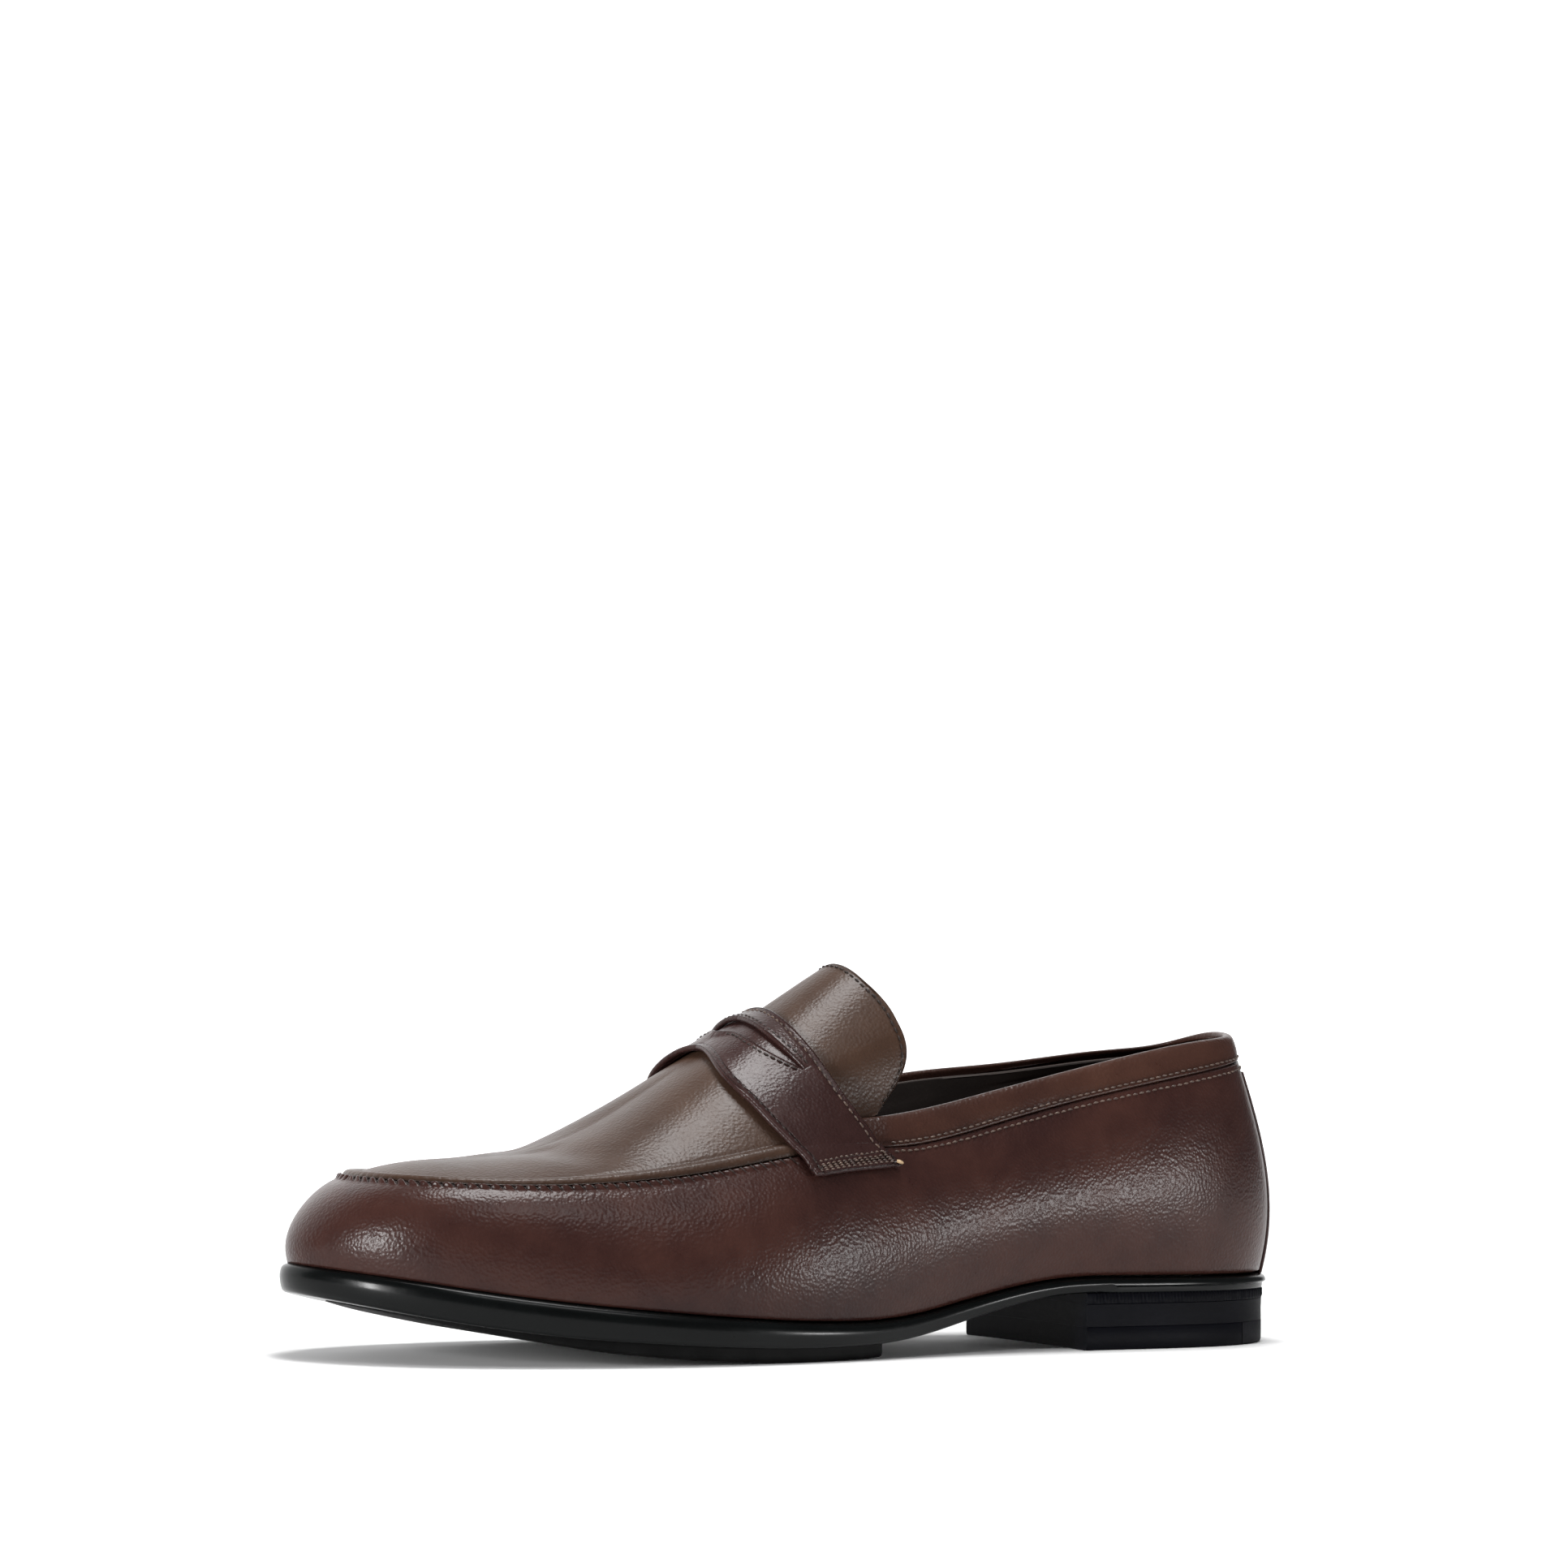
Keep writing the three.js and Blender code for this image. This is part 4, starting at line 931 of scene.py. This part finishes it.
def make_tongue():
    t = concatenate([linspace(-0.28, 0, 10)[:-1], linspace(0, 1, 46)])
    body, faces = thicken(*grids([(tongue_xyz(linspace(-1, 1, 161), t), False)]), 0, -1.5, 7)
    # Painted shade along the tongue's stitch row.
    stitch_shade_line = tongue_xyz(linspace(-0.95, 0.95, 260), [TONGUE_ROW])[:, 0]
    obj = make_object("tongue_leather", body, faces, APRON, edge_shade(body, stitch_shade_line, 0.7, 0.35))
    bend_over_strap(obj, "tongue")
    t = concatenate([linspace(-0.2, 0, 8)[:-1], linspace(0, 0.985, 40)])
    body, faces = thicken(*grids([(tongue_xyz(linspace(-0.985, 0.985, 121), t), False)]), -1.55, -2.6, 5)
    obj = make_object("tongue_lining_leather", body, faces, LINING)
    bend_over_strap(obj, "tongue_lining")
    path, n = [], []
    for x in linspace(-0.93, 0.93, 140):
        a = tongue_xyz([x + 0.01], [TONGUE_ROW])[0, 0] - tongue_xyz([x - 0.01], [TONGUE_ROW])[0, 0]
        b = tongue_xyz([x], [0.95])[0, 0] - tongue_xyz([x], [0.9])[0, 0]
        path.append(tongue_xyz([x], [TONGUE_ROW])[0, 0])
        n.append(unit(cross(b, a)))
    row("tongue_stitches", array(path), array(n), "tongue_thread", 2.3, 0.27, body="tongue_flap")


# ---- collar and linings ----
COLLAR_END = 5.5
UPPER_ROW, LOWER_ROW = 0.13, 0.962    # collar stitches: share of the collar, height on the wall


def collar_rows(u):
    s, c, n = seam(u), topline(u), outward(u)
    tuck = smooth((np.abs(u) - 5.15) / 0.3)[:, None] * 1.5
    at = [(-0.04, -0.7), (-0.015, -0.15), (0.03, 0.12), (0.1, 0.16), (0.22, 0.28), (0.4, 0.42),
          (0.55, 0.42), (0.7, 0.36), (0.82, 0.24), (0.91, 0.02), (0.97, -0.35), (1.0, -0.95),
          (0.985, -1.7), (0.94, -2.2), (0.85, -2.35), (0.7, -2.3)]
    return stack([s + (c - s) * a + n * (b - tuck) for a, b in at], 1)


def make_collar():
    rows = collar_rows(side_columns(-COLLAR_END, COLLAR_END, 40))
    body, faces = thicken(*grids([(through(rows, 56), False)]), 0.1, -0.5, 4)
    u = linspace(-COLLAR_END, COLLAR_END, 400)
    line = seam(u)
    upper_row = line + (topline(u) - line) * UPPER_ROW
    # Painted shade in the groove along the seam line and along the upper stitch row.
    painted_shade = maximum(edge_shade(body, line, 0.6, 0.35), edge_shade(body, upper_row, 0.7, 0.55))
    settle(make_object("collar_leather", body, faces, COLLAR, painted_shade), "shoe", "upper_leather", "collar_band")


def make_collar_stitches():
    u = linspace(-5.2, 5.2, 600)
    s, n = seam(u), outward(u)
    path = s + (topline(u) - s) * UPPER_ROW + n * 0.27
    row("collar_stitches_upper", path, n, "collar_thread_upper", 2.2, 0.28, GLINT_THREAD)
    u = u[np.abs(u) > 0.02]
    row("collar_stitches_lower", lifted(u, LOWER_ROW, 0.0), face_normal(u, LOWER_ROW),
        "collar_thread_lower", 2.2, 0.3, GLINT_THREAD)


def lining_grid(u):
    n = outward(u)
    depth = UPPER_THICK + STIFF_THICK + 2 * GAP
    low = [lifted(u, v, -depth) for v in (0.06, 0.18, 0.32, 0.46, 0.6, 0.74, 0.86)]
    s = seam(u) - n * (COLLAR_DEPTH + GAP + 0.15)
    c = topline(u) - n * (COLLAR_DEPTH + GAP + 0.05) - UP * 2.2
    return through(stack(low + [s, (s + c) / 2, c], 1), 60)


def make_linings():
    sheet("quarter_lining_leather", [(lining_grid(side_columns(-5.9, 5.9, 24)), False)],
          0, -LINING_THICK, 4, LINING, "lining_leather", "quarter_lining")
    under = -LINING_THICK - GAP
    sheet("heel_grip_suede", [(lining_grid(side_columns(-1.75, 1.75, 24))[:, 16:57], False)],
          under, under - 0.8, 5, SUEDE, "grip_suede", "heel_grip")
    uu, ww = meshgrid(side_columns(5.75, 11, 12), linspace(1.06, 2, 20), indexing="ij")
    under = -UPPER_THICK - GAP
    sheet("vamp_lining_leather", [(on_upper(uu, ww), False), (on_upper(COLS - uu, ww), True)],
          under, under - LINING_THICK, 4, LINING, "lining_leather", "vamp_lining")


BACKSTAY_HALF, BACKSTAY_ROW = 0.66, 0.57


def make_backstay():
    u = linspace(-BACKSTAY_HALF, BACKSTAY_HALF, 41)
    uu, vv = meshgrid(u, linspace(0.0, 0.93, 60), indexing="ij")
    sunk = bell(np.abs(uu) - BACKSTAY_ROW, 0.03)
    rise = 0.2 * cos(uu / BACKSTAY_HALF * math.pi / 2) - 0.2 * sunk
    sheet("backstay_leather", [(wall(uu, vv) + face_normal(uu, vv) * rise[..., None], False)],
          GAP + 0.9, GAP - 0.25, 6, STRAP, "strap_leather", "backstay")
    q = linspace(0.06, 0.9, 60)
    for tag, side in (("lateral", BACKSTAY_ROW), ("medial", -BACKSTAY_ROW)):
        row(f"backstay_stitches_{tag}", lifted(side, q, GAP + 0.72), face_normal(side, q),
            f"backstay_thread_{tag}", 2.3, 0.25)


# ---- bottom ----
def inset_at(inset, u):
    return inset(u)[:, None] if callable(inset) else inset


def ring_grid(profile, u):
    """Rings along the outline at columns u; profile rows are (inset, height function)."""
    rows = []
    for inset, height in profile:
        p = outline(u) - outward(u)[:, :2] * inset_at(inset, u)
        rows.append(np.column_stack([p, height(p[:, 0])]))
    return stack(rows, 1)


def across(u_lateral, u_medial, inset, height, count):
    """Surface between paired columns, used for the flat faces of the bottom."""
    a = outline(u_lateral) - outward(u_lateral)[:, :2] * inset_at(inset, u_lateral)
    b = outline(u_medial) - outward(u_medial)[:, :2] * inset_at(inset, u_medial)
    t = linspace(0, 1, count)[None, :, None]
    p = a[:, None] * (1 - t) + b[:, None] * t
    return concatenate([p, height(p[..., 0])[..., None]], -1)


def solid_ring(profile, per):
    """Closed body: rings round the outline, with faces across the first and last ring."""
    u = linspace(0, 11, 11 * per + 1)
    shell = ring_grid(profile, linspace(0, COLS, COLS * per + 1))
    low, high = (across(u, COLS - u, *profile[k], 13) for k in (0, -1))
    return grids([(shell, False), (low, True), (high, False)])


def midsole_low(x):
    return sole_top(x) - sole_edge(x)


def make_midsole():
    def at(share):
        return lambda x: sole_top(x) - sole_edge(x) * share

    def under(inset):
        """Lower rounding, nearly flush with the heel over its length."""
        def follow(u):
            over_heel = smooth((outline(u)[:, 0] - LENGTH + HEEL_LENGTH - 2) / 8)
            return inset + (0.9 + 0.12 * inset - inset) * over_heel
        return follow
    low = [(2.6, 1), (1.4, 0.985), (0.75, 0.93), (0.4, 0.82), (0.15, 0.66)]
    high = [(0.0, 0.5), (0.02, 0.4), (0.14, 0.29), (0.42, 0.18), (0.85, 0.11), (1.4, 0.06),
            (2.1, 0.022), (3.0, 0)]
    profile = [(under(inset), at(share)) for inset, share in low]
    profile += [(inset, at(share)) for inset, share in high]
    solid("midsole_edge", solid_ring(profile, 24), EDGE, "edge_black", "midsole", 50)


def arc_columns(x):
    """Paired columns from the breast or tread end round to the tip they surround."""
    u = linspace(0.2, 10.8, 4000)
    lateral = u[np.argmin(np.abs(outline(u)[:, 0] - x))]
    medial = u[np.argmin(np.abs(outline(COLS - u)[:, 0] - x))]
    return lateral, medial


def arc_solid(lateral, medial, tip, profile, count, breast=None):
    """Closed body over part of the outline. tip is 0 for the heel end and 11 for the toe end."""
    t = linspace(0, 1, count + 1)
    a = lateral + (tip - lateral) * t
    b = (medial + (tip - medial) * t) * -1
    if tip:
        b = COLS + b
    ring = concatenate([a, b[::-1][1:]])
    flip = tip == 0
    patches = [(ring_grid(profile, ring), flip)]
    rows = 17
    ends = []
    for i, h in profile:
        p = across(a[:1], b[:1], i, h, rows)[0]
        if breast is not None:
            p = breast(p, linspace(0, 1, rows))
        ends.append(p)
    patches.append((stack(ends, 1), not flip))
    for k, up in ((0, False), (-1, True)):
        i, h = profile[k]
        face = across(a, b, i, h, rows)
        if breast is not None:
            push = breast(face[0].copy(), linspace(0, 1, rows)) - face[0]
            fade = clip(1 - t * 6, 0, 1)[:, None, None]
            face = face + push[None] * fade
        patches.append((face, up == flip))
    return grids(patches)


def hollow_breast(p, t):
    q = p.copy()
    q[:, 0] += 1.8 * sin(math.pi * t)
    return q


def make_heel():
    x = LENGTH - HEEL_LENGTH
    lateral, medial = arc_columns(x)

    def level(z):
        return lambda v: full(np.shape(v), float(z))

    def under(v):
        return midsole_low(v) - 0.04

    def layer(rows):
        return [(inset, level(z)) for inset, z in rows]
    profile = layer([(1.2, LIFT_BOTTOM + 0.02), (1.06, LIFT_BOTTOM + 0.12), (1.0, LIFT_BOTTOM + 0.7)])
    profile += [(1.0, lambda v: under(v) - 0.4), (1.3, under)]
    points, faces = arc_solid(lateral, medial, 0, profile, WHEEL_STEPS, hollow_breast)
    near = nearest_round(points)
    wheel = WHEEL_DEEP * np.sign(sin(_round_s[near] * 2 * math.pi / WHEEL_PITCH))
    mid = (points[:, 2] > LIFT_BOTTOM + 0.3) & (points[:, 0] > x + 2)
    points[:, :2] += _round_n[near] * (wheel * mid)[:, None]
    solid("heel_lift_stack", (points, faces), HEEL, "heel_stack", "heel_lift")
    low, top = TOPLIFT_TOP + 0.14, LIFT_BOTTOM
    profile = layer([(1.25, low), (1.12, low + 0.1), (1.15, low + 1.6), (1.2, (low + top) / 2),
                     (1.15, top - 1.4), (1.1, top - 0.1), (1.25, top)])
    solid("heel_block_stack", arc_solid(lateral, medial, 0, profile, 90, hollow_breast),
          HEEL, "heel_stack", "heel_block")
    profile = layer([(1.8, 0), (1.35, 0.25), (1.1, 0.8), (1.05, 2.5), (1.08, TOPLIFT_TOP),
                     (1.2, TOPLIFT_TOP + 0.12)])
    points, faces = arc_solid(lateral, medial, 0, profile, 90, hollow_breast)
    lift = make_object("top_lift_rubber", points, faces, HEEL, smooth_angle=45)
    corner = make_object("top_lift_corner_rubber", points, faces, CORNER, smooth_angle=45)
    cut_corner(lift, "DIFFERENCE", 0.25)
    cut_corner(corner, "INTERSECT", 0.0)
    settle(lift, "shoe", "tread_rubber", "top_lift")
    settle(corner, "shoe", "tread_rubber", "top_lift_corner")


WHEEL_STEPS, WHEEL_PITCH, WHEEL_DEEP = 260, 1.15, 0.14    # fudge-wheel marks on the lift
_round_u = linspace(-4, 4, 4000)
_round_p = outline(_round_u)
_round_s = lengths(_round_p)
_round_n = outward(_round_u)[:, :2]


def nearest_round(points):
    """Index of the nearest of the samples round the heel, for each point."""
    return concatenate([((points[k:k + 2000, None, :2] - _round_p[None]) ** 2).sum(-1).argmin(1)
                           for k in range(0, len(points), 2000)])


def cut_corner(obj, operation, grow):
    """Top lift and its let-in rubber corner, parted along a square cut."""
    bpy.ops.mesh.primitive_cube_add(size=1)
    cutter = bpy.context.object
    cutter.scale = array([60, 60, 40]) * MM
    cutter.location = place([LENGTH * 0.93 - grow + 30, -BALL_WIDTH * 0.06 - 30 + grow, 0])
    bpy.context.view_layer.update()
    mod = obj.modifiers.new("corner", "BOOLEAN")
    mod.operation = operation
    mod.object = cutter
    mod.solver = "EXACT"
    depsgraph = bpy.context.evaluated_depsgraph_get()
    mesh = bpy.data.meshes.new_from_object(obj.evaluated_get(depsgraph))
    obj.modifiers.clear()
    obj.data = mesh
    mesh.set_sharp_from_angle(angle=math.radians(45))
    bpy.data.objects.remove(cutter, do_unlink=True)


TREAD_TOE_SHARE, TREAD_TAPER = 0.25, 0.34
TOE_ZONE = 75.0                # where the tread feathers out under the sole
TREAD_BREAK = 0.51


def make_tread():
    lateral, medial = arc_columns(LENGTH * TREAD_BREAK)

    def level(share, less=0.0):
        def height(v):
            grown = smooth(v / (LENGTH * TREAD_TAPER))
            thick = TREAD_THICK * (TREAD_TOE_SHARE + (1 - TREAD_TOE_SHARE) * grown)
            return midsole_low(v) - 0.05 - (0.15 + 0.85 * smooth(v / TOE_ZONE)) * (GAP + thick - less) * share
        return height

    def drawn_in(more):
        return lambda u: TREAD_INSET + more + 8 * (1 - smooth(outline(u)[:, 0] / TOE_ZONE))
    profile = [(drawn_in(1.0), level(1, 0.05)), (drawn_in(0.4), level(1, 0.3)),
               (drawn_in(0), level(0.72)), (drawn_in(0), level(0.5)), (drawn_in(0), level(0))]
    solid("tread_rubber_sole", arc_solid(lateral, medial, 11, profile, 120),
          RUBBER, "tread_rubber", "tread_outsole")


def make_sock():
    low = UPPER_THICK + 2 * GAP + 0.25 + BOARD_THICK + GAP
    inset = WELT + 4.2

    def at(d):
        return lambda x: sole_top(x) + low + (PAD_THICK + GAP) * smooth((x / LENGTH - 0.6) / 0.05) + d
    profile = [(inset, at(0)), (inset - 0.2, at(0.6)), (inset, at(1.05)), (inset + 0.35, at(SOCK_THICK))]
    solid("sock_liner_leather", solid_ring(profile, 12), SOCK, "lining_leather", "sock_liner", 50)


make_wall()
make_apron()
make_moc_stitches()
make_strap()
make_slot_backing()
make_strap_stitches()
make_tongue()
make_collar()
make_collar_stitches()
make_linings()
make_backstay()
make_midsole()
make_heel()
make_tread()
make_sock()


# ---- finishes for the hidden pieces that stay as the CAD made them ----
def speckled(name, dark, light, rough, scale, metal=0.0):
    mat = plain(name, dark, light, rough, scale, 0.00005)
    mat.node_tree.nodes["Principled BSDF"].inputs["Metallic"].default_value = metal
    return mat


STIFF = speckled("stiffener_cloth", (0.16, 0.12, 0.07), (0.24, 0.19, 0.12), 0.8, 1400.0)
BOARD = speckled("insole_fibre_board", (0.20, 0.13, 0.07), (0.30, 0.21, 0.12), 0.85, 900.0)
CORK = speckled("cork_granules", (0.14, 0.07, 0.03), (0.34, 0.20, 0.10), 0.9, 400.0)
FOAM = speckled("pad_foam", (0.02, 0.02, 0.02), (0.05, 0.05, 0.05), 0.95, 2000.0)
STEEL = speckled("spring_steel", (0.30, 0.31, 0.33), (0.42, 0.43, 0.45), 0.35, 600.0, 1.0)
for node, mat in [("toe_puff", STIFF), ("heel_counter", STIFF), ("toe_lining", LINING),
                  ("insole_board", BOARD), ("cork_filler", CORK), ("heel_pad", FOAM), ("shank", STEEL),
                  *((f"heel_nail_{k}", STEEL) for k in range(1, 6))]:
    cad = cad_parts[node]
    for held in cad.material_slots:
        held.material = mat
    if not cad.material_slots:
        cad.data.materials.append(mat)


# ---- floor, light and camera ----
def make_stage():
    """Seamless paper: a white floor that sweeps up far behind the shoe; the paper glows as painted light,
    from none near the shoe to nearly full far away.
    """
    mat, nodes, links, bsdf = shader("seamless_paper")
    coords = nodes.new("ShaderNodeTexCoord")
    tones = ramp(nodes, [(0.3, (0.84, 0.84, 0.84)), (0.7, (0.88, 0.88, 0.88))])
    links.new(noise(nodes, links, coords.outputs["Object"], 9.0, 2.0), tones.inputs["Fac"])
    links.new(tones.outputs["Color"], bsdf.inputs["Base Color"])
    bsdf.inputs["Roughness"].default_value = 0.75
    bsdf.inputs["Specular IOR Level"].default_value = 0.1
    behind = nodes.new("ShaderNodeSeparateXYZ")
    links.new(coords.outputs["Object"], behind.inputs[0])
    around = add_node(nodes, "ShaderNodeVectorMath", operation="LENGTH")
    links.new(coords.outputs["Object"], around.inputs[0])
    far = maths(nodes, links, "MULTIPLY", around.outputs["Value"], 0.5)
    reach = maths(nodes, links, "MAXIMUM", behind.outputs["Y"], far)
    # painted light: emission that rises with distance from the shoe
    glow = add_node(nodes, "ShaderNodeMapRange")
    glow.interpolation_type = "SMOOTHSTEP"
    glow.inputs["From Min"].default_value = 0.1
    glow.inputs["From Max"].default_value = 1.3
    glow.inputs["To Max"].default_value = 0.95
    links.new(reach, glow.inputs["Value"])
    bsdf.inputs["Emission Color"].default_value = (1, 1, 1, 1)
    links.new(glow.outputs["Result"], bsdf.inputs["Emission Strength"])
    bend = [(3.0 + math.sin(a), 1 - math.cos(a)) for a in linspace(0, math.pi / 2, 16)]
    profile = [(-6.0, 0.0), (-0.6, 0.0), (0.6, 0.0), *bend, (4.0, 5.0)]
    across_x = (-6.0, -0.6, 0.6, 6.0)
    points = [(x, y, z) for y, z in profile for x in across_x]
    mesh = bpy.data.meshes.new("seamless_floor")
    mesh.from_pydata(points, [], grid_faces(len(profile), len(across_x)).tolist())
    mesh.polygons.foreach_set("use_smooth", [True] * len(mesh.polygons))
    floor = bpy.data.objects.new("seamless_floor", mesh)
    floor.data.materials.append(mat)
    bpy.context.scene.collection.objects.link(floor)
    world = bpy.data.worlds.new("studio")
    world.use_nodes = True
    world.node_tree.nodes["Background"].inputs["Color"].default_value = (0.95, 0.97, 1, 1)
    world.node_tree.nodes["Background"].inputs["Strength"].default_value = 0.14
    bpy.context.scene.world = world
    bpy.context.scene.view_settings.view_transform = "Standard"


def softbox(name, location, target, size, power):
    data = bpy.data.lights.new(name, "AREA")
    data.shape = "RECTANGLE"
    data.size, data.size_y = size
    data.energy = power
    obj = bpy.data.objects.new(name, data)
    obj.location = location
    obj.rotation_euler = (Vector(target) - Vector(location)).to_track_quat("-Z", "Y").to_euler()
    obj.visible_camera = False
    bpy.context.scene.collection.objects.link(obj)


CAMERA_AZ, CAMERA_EL, CAMERA_ROLL = -30.5, 2.4, 1.05
CAMERA_FAR = 1250.0
CAMERA_AT = 42.2               # height aimed at
LENS, SENSOR = 105.2795, 36    # millimetres
AIM_RIGHT, AIM_UP = -0.003873, 0.088908    # slopes of the aim off the line to the shoe's middle


def make_camera():
    az, el, roll = (math.radians(a) for a in (CAMERA_AZ, CAMERA_EL, CAMERA_ROLL))
    back = array([math.sin(az) * math.cos(el), -math.cos(az) * math.cos(el), math.sin(el)])
    eye = array([LENGTH / 2, 0, CAMERA_AT]) + back * CAMERA_FAR
    forward = -back
    right = unit(cross(forward, UP))
    up = cross(right, forward)
    right, up = (right * math.cos(roll) + up * math.sin(roll),
                 -right * math.sin(roll) + up * math.cos(roll))
    aim = unit(forward + right * AIM_RIGHT + up * AIM_UP)
    side = unit(right - aim * right.dot(aim))
    top = cross(side, aim)
    data = bpy.data.cameras.new("camera")
    data.sensor_width = SENSOR
    data.lens = LENS
    data.clip_end = 50
    cam = bpy.data.objects.new("camera", data)
    rows = np.column_stack([side, top, -aim, place(eye)])
    cam.matrix_world = Matrix([*rows.tolist(), [0, 0, 0, 1]])
    bpy.context.scene.collection.objects.link(cam)
    bpy.context.scene.camera = cam


make_stage()
softbox("overhead", (0.06, 0.02, 1.35), (0, 0, 0.05), (0.6, 0.5), 20)
softbox("above_front", (-0.02, -0.80, 1.10), (0, 0, 0.05), (0.7, 0.3), 4)
softbox("toe_side", (-1.42, -0.44, 0.27), (-0.13, 0, 0.03), (0.12, 0.52), 21)
softbox("heel_side", (0.46, -0.50, 0.05), (0.03, -0.04, 0.035), (0.12, 0.06), 1.35)
make_camera()
